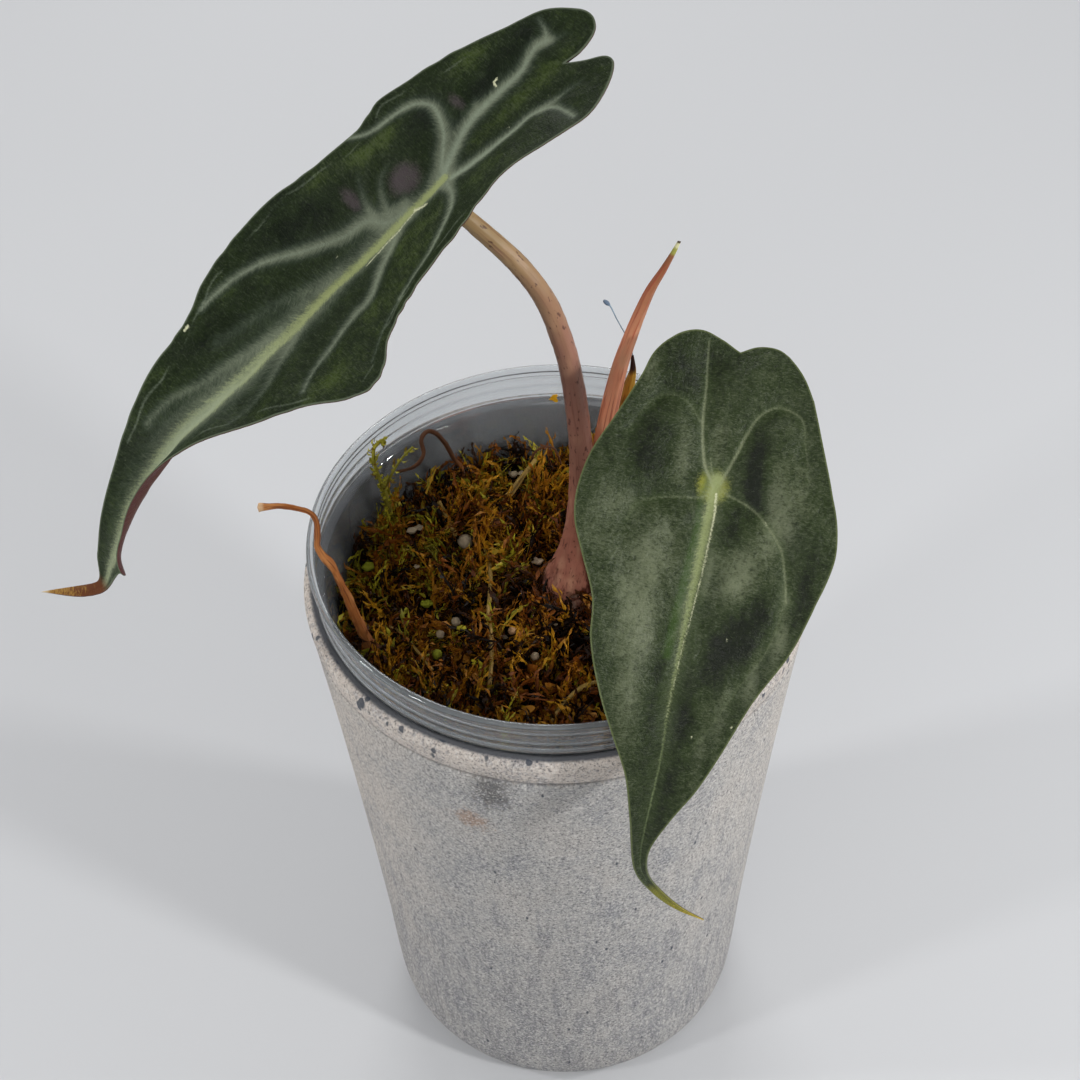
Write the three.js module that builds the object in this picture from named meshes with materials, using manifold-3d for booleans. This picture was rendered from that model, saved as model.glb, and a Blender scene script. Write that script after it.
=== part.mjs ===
// A potted alocasia with two leaves: a speckled stoneware cover pot, a clear ribbed nursery cup that hangs in it
// by its rim, sphagnum moss, and the plant. Millimetres, +Z up. The origin is the centre of the pot's underside,
// and the front of the plant faces -Y.
import * as THREE from 'three';
import { mergeVertices } from 'three/addons/utils/BufferGeometryUtils.js';
import Module from 'manifold-3d';

const wasm = await Module();
wasm.setup();

// Driving dimensions of the two vessels
const POT_HEIGHT = 156;
const POT_RIM_RADIUS = 60;
const POT_WALL = 4;
const POT_FLOOR = 7;
const CUP_RIM_RADIUS = 58.4;
const CUP_RIM_HEIGHT = 11.5;
const CUP_WALL = 0.8;
const CUP_BASE_RADIUS = 40;
const CUP_BASE_Z = 26;
const CUP_NECK_RADIUS = 55.2;
const ROUND_STEPS = 40;

// Clear distance kept between neighbouring solids
const GAP = 0.35;

// Moss fill
const MOSS_TOP = 140;
const MOSS_RINGS = 7;
const MOSS_SECTORS = 30;
const MOSS_STRANDS = 74;
const MOSS_SEED = 7;

// Leaf blades
const BLADE_THICKNESS = 0.9;
const CURL_WIDTH = 25;

const finish = (color, roughness, extra = {}) =>
  new THREE.MeshStandardMaterial({ color, roughness, metalness: 0, ...extra });
const MATERIALS = {
  stoneware: finish(0xaaa7a4, 0.85),
  clearPlastic: finish(0xdde3e6, 0.12, { transparent: true, opacity: 0.35 }),
  moss: finish(0x6b4a17, 0.95),
  bead: finish(0xd8cdb8, 0.7),
  corm: finish(0x8a5a48, 0.8),
  petiole: finish(0xa5736a, 0.5),
  leaf: finish(0x2c3a24, 0.4),
  sheath: finish(0xc7694a, 0.6),
  drySheath: finish(0xb07d2c, 0.7),
  filament: finish(0x8ca3b3, 0.5),
  dryStalk: finish(0xa0622e, 0.8),
  root: finish(0x5a3a22, 0.8),
  greenMoss: finish(0x8f8a25, 0.9),
  yellowMoss: finish(0xd6a51c, 0.9),
};

// Small vector helpers
const vec = (p) => new THREE.Vector3(p[0], p[1], p[2]);
const radians = THREE.MathUtils.degToRad;

// Repeatable random numbers from a seed
function seeded(seed) {
  let state = seed;
  return () => {
    state = (state + 0x6d2b79f5) | 0;
    let t = Math.imul(state ^ (state >>> 15), 1 | state);
    t = (t + Math.imul(t ^ (t >>> 7), 61 | t)) ^ t;
    return ((t ^ (t >>> 14)) >>> 0) / 4294967296;
  };
}

// Smooth curve through rows of numbers at rising knots. It gives the value and the slope at x.
function through(knots, rows, x) {
  const last = knots.length - 1;
  let k = 0;
  while (k < last - 1 && x > knots[k + 1]) k += 1;
  const slope = (i, c) => {
    const a = Math.max(i - 1, 0);
    const b = Math.min(i + 1, last);
    return (rows[b][c] - rows[a][c]) / (knots[b] - knots[a]);
  };
  const h = knots[k + 1] - knots[k];
  const raw = (x - knots[k]) / h;
  const t = Math.min(Math.max(raw, 0), 1);
  const beyond = (raw - t) * h;
  const value = [];
  const rate = [];
  for (let c = 0; c < rows[0].length; c += 1) {
    const v0 = rows[k][c];
    const v1 = rows[k + 1][c];
    const m0 = slope(k, c);
    const m1 = slope(k + 1, c);
    const d = ((6 * t * t - 6 * t) / h) * (v0 - v1) + (3 * t * t - 4 * t + 1) * m0 + (3 * t * t - 2 * t) * m1;
    const v = (2 * t ** 3 - 3 * t * t + 1) * v0 + (t ** 3 - 2 * t * t + t) * h * m0
      + (3 * t * t - 2 * t ** 3) * v1 + (t ** 3 - t * t) * h * m1;
    value.push(v + d * beyond);
    rate.push(d);
  }
  return { value, rate };
}

// Geometry and boolean helpers
function solidOf(geometry) {
  const bare = geometry.clone();
  bare.deleteAttribute('normal');
  bare.deleteAttribute('uv');
  const merged = mergeVertices(bare, 1e-4);
  return new wasm.Manifold(new wasm.Mesh({
    numProp: 3,
    vertProperties: new Float32Array(merged.attributes.position.array),
    triVerts: new Uint32Array(merged.index.array),
  }));
}

function geometryOf(solid) {
  const mesh = solid.getMesh();
  const geometry = new THREE.BufferGeometry();
  geometry.setAttribute('position', new THREE.BufferAttribute(new Float32Array(mesh.vertProperties), 3));
  geometry.setIndex(new THREE.BufferAttribute(new Uint32Array(mesh.triVerts), 1));
  return geometry;
}

function largestPiece(solid) {
  const pieces = solid.decompose();
  return pieces.reduce((a, b) => (b.volume() > a.volume() ? b : a));
}

function fromLists(points, faces) {
  const geometry = new THREE.BufferGeometry();
  geometry.setAttribute('position', new THREE.Float32BufferAttribute(points.flat(), 3));
  geometry.setIndex(faces.flat());
  return geometry;
}

// Lathe about the Z axis of a profile given as [radius, z] points, from the axis at the bottom, out and up
function turned(profile) {
  const lathe = new THREE.LatheGeometry(profile.map(([r, z]) => new THREE.Vector2(r, z)), ROUND_STEPS);
  lathe.rotateX(Math.PI / 2);
  return lathe;
}

// Closed round tube along a smooth curve, with its radius given at evenly spread stations
function tube(points, radii, sides, steps, grow = 0) {
  const curve = new THREE.CatmullRomCurve3(points.map(vec), false, 'centripetal');
  const frames = curve.computeFrenetFrames(steps, false);
  const knots = radii.map((_, i) => i / (radii.length - 1));
  const rows = radii.map((r) => [r]);
  const position = [];
  const faces = [];
  for (let i = 0; i <= steps; i += 1) {
    const u = i / steps;
    const centre = curve.getPointAt(u);
    const radius = through(knots, rows, u).value[0] + grow;
    for (let j = 0; j < sides; j += 1) {
      const a = (2 * Math.PI * j) / sides;
      const p = centre.clone()
        .addScaledVector(frames.normals[i], radius * Math.cos(a))
        .addScaledVector(frames.binormals[i], radius * Math.sin(a));
      position.push(p.toArray());
      if (i < steps) {
        const next = (j + 1) % sides;
        const a0 = i * sides + j;
        const b0 = i * sides + next;
        faces.push([a0, b0, b0 + sides], [a0, b0 + sides, a0 + sides]);
      }
    }
  }
  const first = position.push(curve.getPointAt(0).addScaledVector(curve.getTangentAt(0), -grow).toArray()) - 1;
  const final = position.push(curve.getPointAt(1).addScaledVector(curve.getTangentAt(1), grow).toArray()) - 1;
  for (let j = 0; j < sides; j += 1) {
    const next = (j + 1) % sides;
    faces.push([first, next, j], [final, steps * sides + j, steps * sides + next]);
  }
  return fromLists(position, faces);
}

// Cover pot: turned wall with a slightly flared mouth and a rounded foot
const POT_OUTSIDE = [[0, 38.5], [2, 42], [6, 44.6], [12, 45.9], [39, 48], [78, 51.6], [117, 55.6], [150, 59.4]];
function coverPot() {
  const rim = POT_HEIGHT;
  const outer = POT_OUTSIDE.map(([z, r]) => [r, z]);
  const lip = [[POT_RIM_RADIUS, rim - 2], [POT_RIM_RADIUS - 0.7, rim - 0.4], [POT_RIM_RADIUS - 1.6, rim],
    [POT_RIM_RADIUS - POT_WALL + 1, rim], [POT_RIM_RADIUS - POT_WALL, rim - 1]];
  const inner = [[117, 51.4], [78, 47.4], [39, 43.8], [12, 41.5], [POT_FLOOR, 38]].map(([z, r]) => [r, z]);
  return turned([[0, 0], ...outer, ...lip, ...inner, [0, POT_FLOOR]]);
}

// Clear nursery cup: thin tapered wall, three small ribs and a rolled bead at the mouth
const CUP_TOP = POT_HEIGHT + CUP_RIM_HEIGHT;
function nurseryCup() {
  const seat = POT_HEIGHT + GAP;
  const rib = (z) => [[CUP_RIM_RADIUS - 1.5, z - 0.9], [CUP_RIM_RADIUS - 0.9, z], [CUP_RIM_RADIUS - 1.5, z + 0.9]];
  const outside = [[CUP_BASE_RADIUS - 2, CUP_BASE_Z], [CUP_BASE_RADIUS, CUP_BASE_Z + 2],
    [CUP_NECK_RADIUS, seat], [CUP_RIM_RADIUS - 1.2, seat], ...rib(seat + 2), ...rib(seat + 4.4),
    [CUP_RIM_RADIUS - 1.3, CUP_TOP - 4], [CUP_RIM_RADIUS, CUP_TOP - 2.6], [CUP_RIM_RADIUS, CUP_TOP - 1],
    [CUP_RIM_RADIUS - 0.8, CUP_TOP]];
  const inside = [[CUP_RIM_RADIUS - 2, CUP_TOP], [CUP_RIM_RADIUS - 2.6, CUP_TOP - 1.2],
    [CUP_RIM_RADIUS - 2.6, seat + 1.6], [CUP_NECK_RADIUS - CUP_WALL, seat - 1],
    [CUP_BASE_RADIUS - CUP_WALL, CUP_BASE_Z + 2.4], [CUP_BASE_RADIUS - 2.6, CUP_BASE_Z + CUP_WALL]];
  return turned([[0, CUP_BASE_Z], ...outside, ...inside, [0, CUP_BASE_Z + CUP_WALL]]);
}

// Inside radius of the cup at a height
const cupInside = (z) => {
  const t = (z - CUP_BASE_Z) / (POT_HEIGHT - CUP_BASE_Z);
  return CUP_BASE_RADIUS + (CUP_NECK_RADIUS - CUP_BASE_RADIUS) * t - CUP_WALL;
};

// Moss surface height at a place, lumpy, a little lower at the front wall
const mossHeight = (x, y) => MOSS_TOP + 0.02 * y
  + 1.5 * Math.sin(x * 0.23 + 1.3) * Math.cos(y * 0.19 - 0.4)
  + 1.1 * Math.sin(x * 0.41 - y * 0.33 + 2.1);

function mossBed() {
  const points = [];
  const faces = [];
  const wallGap = 0.9;
  const base = CUP_BASE_Z + CUP_WALL + 0.4;
  points.push([0, 0, mossHeight(0, 0)]);
  const rimRadius = cupInside(MOSS_TOP - 4) - wallGap;
  for (let i = 1; i <= MOSS_RINGS; i += 1) {
    for (let j = 0; j < MOSS_SECTORS; j += 1) {
      const a = (2 * Math.PI * j) / MOSS_SECTORS;
      const r = (rimRadius * i) / MOSS_RINGS;
      const [x, y] = [r * Math.cos(a), r * Math.sin(a)];
      points.push([x, y, mossHeight(x, y) - (i === MOSS_RINGS ? 3 : 0)]);
    }
  }
  const bottomRadius = CUP_BASE_RADIUS - 4;
  for (let j = 0; j < MOSS_SECTORS; j += 1) {
    const a = (2 * Math.PI * j) / MOSS_SECTORS;
    points.push([bottomRadius * Math.cos(a), bottomRadius * Math.sin(a), base]);
  }
  const bottom = points.push([0, 0, base]) - 1;
  for (let j = 0; j < MOSS_SECTORS; j += 1) {
    const next = (j + 1) % MOSS_SECTORS;
    faces.push([0, 1 + j, 1 + next]);
    for (let i = 0; i < MOSS_RINGS; i += 1) {
      const a = 1 + i * MOSS_SECTORS + j;
      const b = 1 + i * MOSS_SECTORS + next;
      faces.push([a, a + MOSS_SECTORS, b + MOSS_SECTORS], [a, b + MOSS_SECTORS, b]);
    }
    const ring = 1 + MOSS_RINGS * MOSS_SECTORS;
    faces.push([bottom, ring + next, ring + j]);
  }
  return fromLists(points, faces);
}

// One bent moss strand: it leaves the bed, arches over and comes back to it
function mossStrand(random) {
  const angle = 2 * Math.PI * random();
  const reach = 47 * Math.sqrt(random());
  const [x, y] = [reach * Math.cos(angle), reach * Math.sin(angle)];
  const heading = 2 * Math.PI * random();
  const length = 7 + 7 * random();
  const rise = 1.6 + 3.2 * random();
  const bend = 3 * (random() - 0.5);
  const along = [Math.cos(heading), Math.sin(heading)];
  const path = [-0.5, -0.2, 0.15, 0.5].map((s, i) => {
    let px = x + along[0] * length * s - along[1] * bend * (i % 2);
    let py = y + along[1] * length * s + along[0] * bend * (i % 2);
    const far = Math.hypot(px, py);
    const limit = cupInside(MOSS_TOP) - 3.5;
    if (far > limit) {
      px *= limit / far;
      py *= limit / far;
    }
    const lift = [-2, rise * 0.7, rise, random() < 0.45 ? rise * 1.3 : -1.5][i];
    return [px, py, mossHeight(px, py) + lift];
  });
  const thick = 0.9 + 0.7 * random();
  return tube(path, [thick, thick * 1.2, thick, thick * 0.6], 3, 3);
}

// Leaf blades. A blade is drawn flat first: x runs along the midrib in mm, 0 at the stalk and rising to the tip,
// and each half has its lobe outline, from the notch round to where the lobe joins, and then half widths.
// Stations then give where the midrib runs in space, which way the left half points, how far each half folds up,
// in degrees, and how far each margin lifts, in mm.
const LOBE_JOIN = -22;

const LEFT_LEAF = {
  stalkStation: 3,
  notch: [-38, -0.5],
  leftLobe: [[-38, -0.5], [-42, -1.6], [-47, -1], [-49.6, 2], [-49, 6], [-44, 13], [-34, 16.8], [LOBE_JOIN, 21]],
  rightLobe: [[-38, -0.5], [-41, -4.5], [-44, -8.5], [-44, -11.5], [-40, -15], [-34, -18], [-28, -18],
    [LOBE_JOIN, -18]],
  leftWidth: [[LOBE_JOIN, 21.2], [-14, 23.9], [-5, 26.3], [5, 24.7], [18, 25.2], [29, 26.7], [40, 25.6], [49, 23.6],
    [55, 20.6], [68, 17], [80, 12], [92, 8.3], [104, 6.5], [115, 4.1], [122, 1.8], [130, 1.3], [139, 0]],
  rightWidth: [[LOBE_JOIN, 17.4], [-13, 16.4], [-6, 17.4], [2, 19.6], [12, 20.2], [23, 22], [31, 25], [37, 29.6],
    [43, 31], [48, 28.4], [53, 22.6], [60, 16.8], [70, 12], [80, 10], [92, 8], [104, 6], [109, 6.4], [115, 2.6],
    [122, 1.4], [130, 1.2], [139, 0]],
  stations: [
    { at: [12, 41, 282], side: [-0.56, 0.83, 0], fold: [8, 8], lift: [0, 0] },
    { at: [4, 35, 276], side: [-0.56, 0.83, 0], fold: [8, 8], lift: [0, 0] },
    { at: [-10, 27, 267], side: [-0.56, 0.83, 0], fold: [8, 8], lift: [0, 3] },
    { at: [-24, 18, 257], side: [-0.56, 0.83, 0], fold: [10, 10], lift: [-1, 4] },
    { at: [-45, 7, 241], side: [-0.56, 0.83, 0], fold: [10, 10], lift: [1, 0] },
    { at: [-69, -12, 228], side: [-0.56, 0.83, 0], fold: [12, 12], lift: [0, 0] },
    { at: [-80, -20, 222], side: [-0.56, 0.83, 0.1], fold: [15, 40], lift: [0, 0] },
    { at: [-89, -26, 211], side: [-0.5, 0.83, 0.2], fold: [20, 92], lift: [0, 0] },
    { at: [-94, -28, 201], side: [-0.5, 0.83, 0.2], fold: [20, 92], lift: [0, 0] },
    { at: [-98, -27, 191], side: [-0.5, 0.83, 0.2], fold: [20, 30], lift: [0, 0] },
    { at: [-102, -26, 182], side: [-0.5, 0.83, 0.2], fold: [20, 20], lift: [0, 0] },
    { at: [-116, -23, 178], side: [-0.5, 0.83, 0.3], fold: [20, 20], lift: [0, 0] },
  ],
};

const RIGHT_LEAF = {
  stalkStation: 2,
  notch: [-31.5, -0.5],
  leftLobe: [[-31.5, -0.5], [-33.5, 4], [-34.5, 9], [-32.5, 14], [-28, 18], [LOBE_JOIN, 20]],
  rightLobe: [[-31.5, -0.5], [-33.5, -4.5], [-33.5, -9], [-30.5, -12.8], [-27, -15.6], [LOBE_JOIN, -18.2]],
  leftWidth: [[LOBE_JOIN, 20], [-11, 24.4], [-2, 28], [7, 29.3], [14, 28.5], [22, 25], [30, 20.9], [38, 19.5],
    [46, 16.4], [56, 11.6], [67, 6.8], [80, 3.2], [92, 1.5], [106, 0.9], [117, 0]],
  rightWidth: [[LOBE_JOIN, 18.2], [-11, 21.9], [-2, 25], [5, 27.4], [12, 28.1], [22, 25.9], [32, 23.3], [44, 17.7],
    [54, 14.1], [64, 10], [74, 5.5], [84, 2.2], [92, 1.4], [106, 0.9], [117, 0]],
  stations: [
    { at: [43.5, 12, 225], side: [-1, 0.1, 0.05], fold: [6, 6], lift: [0, 0] },
    { at: [41, 4, 220], side: [-1, 0.1, 0.05], fold: [6, 6], lift: [0, 0] },
    { at: [34.5, -24, 206.5], side: [-1, 0.1, 0.05], fold: [6, 6], lift: [0, 0] },
    { at: [30.5, -38, 198.3], side: [-1, 0.1, 0.05], fold: [6, 6], lift: [0, 0] },
    { at: [26.5, -50, 189.4], side: [-1, 0.1, 0.05], fold: [8, 8], lift: [0, 0] },
    { at: [23, -60, 178], side: [-1, 0.1, 0.05], fold: [10, 10], lift: [0, 0] },
    { at: [20.3, -68, 164], side: [-1, 0.1, 0.05], fold: [12, 12], lift: [0, 0] },
    { at: [18, -72, 154], side: [-1, 0.1, 0.05], fold: [15, 15], lift: [0, 0] },
    { at: [16.3, -74.2, 143], side: [-1, 0.1, 0.05], fold: [20, 20], lift: [0, 0] },
    { at: [16.7, -75, 136.5], side: [-1, 0.1, 0.05], fold: [20, 20], lift: [0, 0] },
    { at: [20, -75, 129.5], side: [-1, 0.1, -0.2], fold: [20, 20], lift: [0, 0] },
    { at: [25, -75, 122.7], side: [-1, 0.1, -0.2], fold: [20, 20], lift: [0, 0] },
    { at: [31, -75, 117.3], side: [-1, 0.1, -0.2], fold: [20, 20], lift: [0, 0] },
  ],
};

function stationKnots(leaf) {
  const lengths = [0];
  for (let i = 1; i < leaf.stations.length; i += 1) {
    lengths.push(lengths[i - 1] + vec(leaf.stations[i].at).distanceTo(vec(leaf.stations[i - 1].at)));
  }
  return lengths.map((l) => l - lengths[leaf.stalkStation]);
}

// Frame of the blade at x along the midrib: where it is, its side and its normal, and its fold and lift
function bladeFrame(leaf, x) {
  const knots = stationKnots(leaf);
  const place = through(knots, leaf.stations.map((s) => s.at), x);
  const other = through(knots, leaf.stations.map((s) => [...s.side, ...s.fold, ...s.lift]), x).value;
  const tangent = vec(place.rate).normalize();
  const side = vec(other).addScaledVector(tangent, -vec(other).dot(tangent)).normalize();
  const normal = side.clone().cross(tangent);
  return { at: vec(place.value), tangent, side, normal, fold: other.slice(3, 5), lift: other.slice(5, 7) };
}

// Point of the bent blade for a flat point. share is 0 on the midrib and 1 on the margin, and up is along the
// blade's own normal.
function bladePoint(leaf, x, y, share, up) {
  const frame = bladeFrame(leaf, x);
  const half = y >= 0 ? 0 : 1;
  const sign = y >= 0 ? 1 : -1;
  const tilt = radians(frame.fold[half]);
  const lift = frame.lift[half] * share * share;
  const across = Math.abs(y);
  return frame.at.clone()
    .addScaledVector(frame.side, sign * (across * Math.cos(tilt) - up * Math.sin(tilt) * Math.min(1, across)))
    .addScaledVector(frame.normal, across * Math.sin(tilt) + lift + up * Math.cos(tilt * Math.min(1, across)));
}

// Flat outline point of one half for a place along the midrib
function outlinePoint(leaf, half, x) {
  const lobe = half === 0 ? leaf.leftLobe : leaf.rightLobe;
  const widths = half === 0 ? leaf.leftWidth : leaf.rightWidth;
  if (x >= LOBE_JOIN) {
    const width = through(widths.map((w) => w[0]), widths.map((w) => [w[1]]), x).value[0];
    return [x, Math.max(width, 0) * (half === 0 ? 1 : -1)];
  }
  const reach = [0];
  for (let i = 1; i < lobe.length; i += 1) {
    reach.push(reach[i - 1] + Math.hypot(lobe[i][0] - lobe[i - 1][0], lobe[i][1] - lobe[i - 1][1]));
  }
  const share = (x - leaf.notch[0]) / (LOBE_JOIN - leaf.notch[0]);
  return through(reach, lobe, share * reach[reach.length - 1]).value;
}

// Closed blade: a top and a bottom sheet with the same diagonals, joined round the margin. The midrib and the
// stalk's seat stand proud below as a rib.
const BLADE_SPAN = 6;
const LOBE_ROWS = 10;
const MAIN_ROWS = 29;
const RIB_DEPTH = 1.5;
function blade(leaf, grow = 0) {
  const tip = leaf.leftWidth[leaf.leftWidth.length - 1][0];
  const rows = LOBE_ROWS + MAIN_ROWS;
  const rowAt = (i) => (i < LOBE_ROWS
    ? leaf.notch[0] + (LOBE_JOIN - leaf.notch[0]) * (i / LOBE_ROWS)
    : LOBE_JOIN + (tip - LOBE_JOIN) * ((i - LOBE_ROWS) / MAIN_ROWS));
  const points = [];
  const columns = 2 * BLADE_SPAN + 1;
  const sheet = (level) => {
    const start = points.length;
    for (let i = 0; i <= rows; i += 1) {
      const ends = i === 0 || i === rows;
      const x = rowAt(i);
      const margins = [outlinePoint(leaf, 0, x), outlinePoint(leaf, 1, x)];
      for (let j = -BLADE_SPAN; j <= BLADE_SPAN; j += 1) {
        if (ends && j > -BLADE_SPAN) continue;
        const share = ends ? 0 : Math.abs(j) / BLADE_SPAN;
        const margin = margins[j <= 0 ? 0 : 1];
        const flatX = ends ? x : x + (margin[0] - x) * share;
        const axisY = x < LOBE_JOIN ? leaf.notch[1] : 0;
        const flatY = ends ? axisY : axisY * (1 - share) + margin[1] * share;
        const rib = share < 0.1 && x > LOBE_JOIN ? RIB_DEPTH * (1 - Math.max(x, 0) / tip) : 0;
        const up = level > 0 ? grow : -BLADE_THICKNESS - rib - grow;
        points.push(bladePoint(leaf, flatX, flatY, share, up).toArray());
      }
    }
    return start;
  };
  const top = sheet(1);
  const count = points.length;
  const bottom = sheet(-1);
  const at = (start, i, j) => {
    if (i === 0) return start;
    if (i === rows) return start + 1 + (rows - 1) * columns;
    return start + 1 + (i - 1) * columns + j;
  };
  const faces = [];
  const add = (a, b, c, flip) => {
    if (a === b || b === c || a === c) return;
    faces.push(flip ? [a, c, b] : [a, b, c]);
  };
  for (const [start, flip] of [[top, false], [bottom, true]]) {
    for (let i = 0; i < rows; i += 1) {
      for (let j = 0; j < columns - 1; j += 1) {
        const [a, b] = [at(start, i, j), at(start, i, j + 1)];
        const [c, d] = [at(start, i + 1, j + 1), at(start, i + 1, j)];
        add(a, b, c, flip);
        add(a, c, d, flip);
      }
    }
  }
  const wall = (p, q) => faces.push([p, q + count, p + count], [p, q, q + count]);
  for (let i = 0; i < rows; i += 1) {
    wall(at(top, i, 0), at(top, i + 1, 0));
    wall(at(top, i + 1, columns - 1), at(top, i, columns - 1));
  }
  const geometry = fromLists(points, faces);
  const solid = solidOf(geometry);
  if (solid.volume() < 0) faces.forEach((f) => f.reverse());
  return solid.volume() < 0 ? fromLists(points, faces) : geometry;
}

// Stalks, sheaths and the other slim pieces, with their centre lines and radii
const LEFT_PETIOLE = {
  path: [[2.9, 8, 137.4], [3.1, 8, 143], [4, 8, 149], [5.3, 8, 160.4], [6, 8.3, 170.3], [6.2, 8.5, 180], [6.1, 8.7, 189.9],
    [5, 9.5, 203.3], [3.9, 10.2, 211.8], [2.2, 11, 219.2], [-0.4, 12, 227.7], [-4.3, 13, 235.2], [-9.9, 14.5, 242.1],
    [-15.5, 16, 247.7], [-20.3, 17.3, 252.4], [-24, 18.4, 256.8]],
  radii: [5.2, 4.2, 3.3, 2.9, 2.75, 2.65, 2.55, 2.45, 2.35, 2.3, 2.2, 2.05, 1.8],
};
const RIGHT_PETIOLE = {
  path: [[12.6, 4.6, 137.4], [14.5, 2, 152], [18, -3, 172], [23, -9, 189], [29, -16.5, 200], [34.5, -24, 206.5]],
  radii: [3.8, 3.2, 2.9, 2.6, 2.3, 2.1],
};
const CORM = { path: [[6.5, 8, 109], [6.5, 8, 116], [6.5, 8, 127], [6.5, 8, 136.2]], radii: [3, 8, 10, 10, 8.5] };
const ROOTS = [
  [[6, 7, 124], [-4, 10, 116], [-16, 14, 104], [-22, 18, 88], [-21, 22, 70]],
  [[6, 7, 124], [14, 15, 115], [24, 20, 104], [29, 18, 86], [27, 12, 66]],
  [[6, 7, 124], [10, -4, 116], [14, -16, 106], [13, -26, 92], [8, -28, 72]],
  [[6, 7, 122], [-2, -2, 112], [-12, -8, 102], [-24, -10, 88], [-26, -8, 68]],
  [[6, 7, 120], [4, 16, 108], [0, 27, 96], [-2, 30, 78], [2, 26, 58]],
  [[6, 7, 120], [6, 5, 104], [3, 3, 88], [4, -2, 70], [1, -4, 50]],
];
const ROOT_RADII = [2.2, 1.6, 1.3, 1.1, 0.8];
const SHEATH = {
  path: [[9, 16.4, 137.6], [9.3, 15, 152], [9.8, 13, 168], [10.8, 10.9, 181], [11.8, 10.1, 188.8], [13.2, 10.5, 198.3],
    [15.5, 11.4, 209.7], [17.7, 12, 217.6], [19.7, 12.6, 223.9], [22.2, 13.2, 230.6], [24.9, 13.7, 235.8],
    [27.1, 14, 240.6], [28.2, 14.2, 243.2]],
  widths: [3.6, 3.5, 3.2, 2.8, 2.4, 2.05, 1.5, 0.9, 0.35],
};
const OLD_SHEATH = {
  path: [[19.5, 13.5, 137.6], [18.2, 15, 156], [16.8, 16.4, 175], [16.9, 17, 191.4], [17.6, 17, 197.7], [18.5, 17.2, 202.7],
    [18.4, 18, 206.8]],
  widths: [2.8, 2.8, 2.7, 2.5, 1.9, 0.35],
};
const FILAMENT = {
  path: [[18.4, 18, 207.3], [18, 16.6, 212], [16.6, 15.4, 215.8], [14.6, 15.4, 220.6], [13.3, 15.4, 224.1],
    [11.9, 15.4, 225.8]],
  radii: [0.35, 0.35, 0.35, 0.35, 0.4, 0.8],
};
const DRY_STALK = {
  path: [[-42.6, -18.5, 139], [-44, -17, 146], [-46.6, -13.7, 152], [-49.2, -11, 159], [-51.2, -8.6, 165], [-53, -6.2, 170],
    [-54.5, -3.3, 172.6], [-55.2, -0.4, 174.6], [-57.1, 0.4, 176.5], [-62.3, 0.9, 178], [-68.4, 0.2, 179]],
  radii: [1.3, 1.2, 1.2, 1, 1.3, 1.1, 0.9, 0.9, 1, 1.1, 1.2],
};
const ROOT_LOOP = {
  path: [[-38.5, 29.5, 141], [-38, 30.8, 152], [-34.8, 33.6, 160], [-31.4, 37.4, 165], [-28, 39.6, 163.4],
    [-24.5, 41, 156], [-22.6, 41.6, 141]],
  radii: [0.9, 0.8, 0.75, 0.7, 0.75, 0.8, 0.9],
};
const GREEN_CURL = {
  path: [[-40.4, 27, 138], [-40.6, 27.8, 147], [-41.6, 27.8, 156], [-43, 26.8, 165], [-43, 27.4, 170], [-41.2, 29.2, 171],
    [-40.4, 30.2, 169.4]],
  radii: [1.7, 1.5, 1.3, 1.1, 0.9, 0.9],
};

// Round or oval grains that lie half sunk in the moss: x, y, and radius
const BEADS = [[-22.3, 23.5, 2.1], [-24.5, -3.7, 1.3], [-29, -13.3, 1.4], [-28.3, -6.4, 1.2], [-5.8, -14.2, 1.2],
  [-11.1, -7.1, 1.1]];

// Sheath: a pointed sleeve, split and folded to a V, with a wall of its own
const SHEATH_WALL = 1.1;
function sheath(shape, opening, steps, grow = 0) {
  const curve = new THREE.CatmullRomCurve3(shape.path.map(vec), false, 'centripetal');
  const knots = shape.widths.map((_, i) => i / (shape.widths.length - 1));
  const rows = shape.widths.map((w) => [w]);
  const arms = 4;
  const points = [];
  const faces = [];
  const ring = 2 * (2 * arms + 1);
  for (let i = 0; i <= steps; i += 1) {
    const u = i / steps;
    const centre = curve.getPointAt(u);
    const along = curve.getTangentAt(u);
    const open = vec(opening).addScaledVector(along, -vec(opening).dot(along)).normalize();
    const across = open.clone().cross(along);
    const width = through(knots, rows, u).value[0];
    const wall = Math.min(SHEATH_WALL, width * 0.8);
    const put = (k, r) => {
      const a = radians(70) * (k / arms);
      points.push(centre.clone().addScaledVector(across, r * Math.sin(a))
        .addScaledVector(open, -r * Math.cos(a) + width * 0.5).toArray());
    };
    for (let k = -arms; k <= arms; k += 1) put(k * (1 + grow * 0.1), width + grow);
    for (let k = arms; k >= -arms; k -= 1) put(k * (1 + grow * 0.1), Math.max(width - wall - grow, 0.05));
    for (let j = 0; j < ring && i < steps; j += 1) {
      const [a, b] = [i * ring + j, i * ring + ((j + 1) % ring)];
      faces.push([a, b, b + ring], [a, b + ring, a + ring]);
    }
  }
  for (let j = 0; j < 2 * arms; j += 1) {
    const [a, b, c, d] = [j, j + 1, ring - 2 - j, ring - 1 - j];
    faces.push([a, c, b], [a, d, c]);
    const o = steps * ring;
    faces.push([o + a, o + b, o + c], [o + a, o + c, o + d]);
  }
  const solid = solidOf(fromLists(points, faces));
  if (solid.volume() < 0) faces.forEach((f) => f.reverse());
  return fromLists(points, faces);
}

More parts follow.
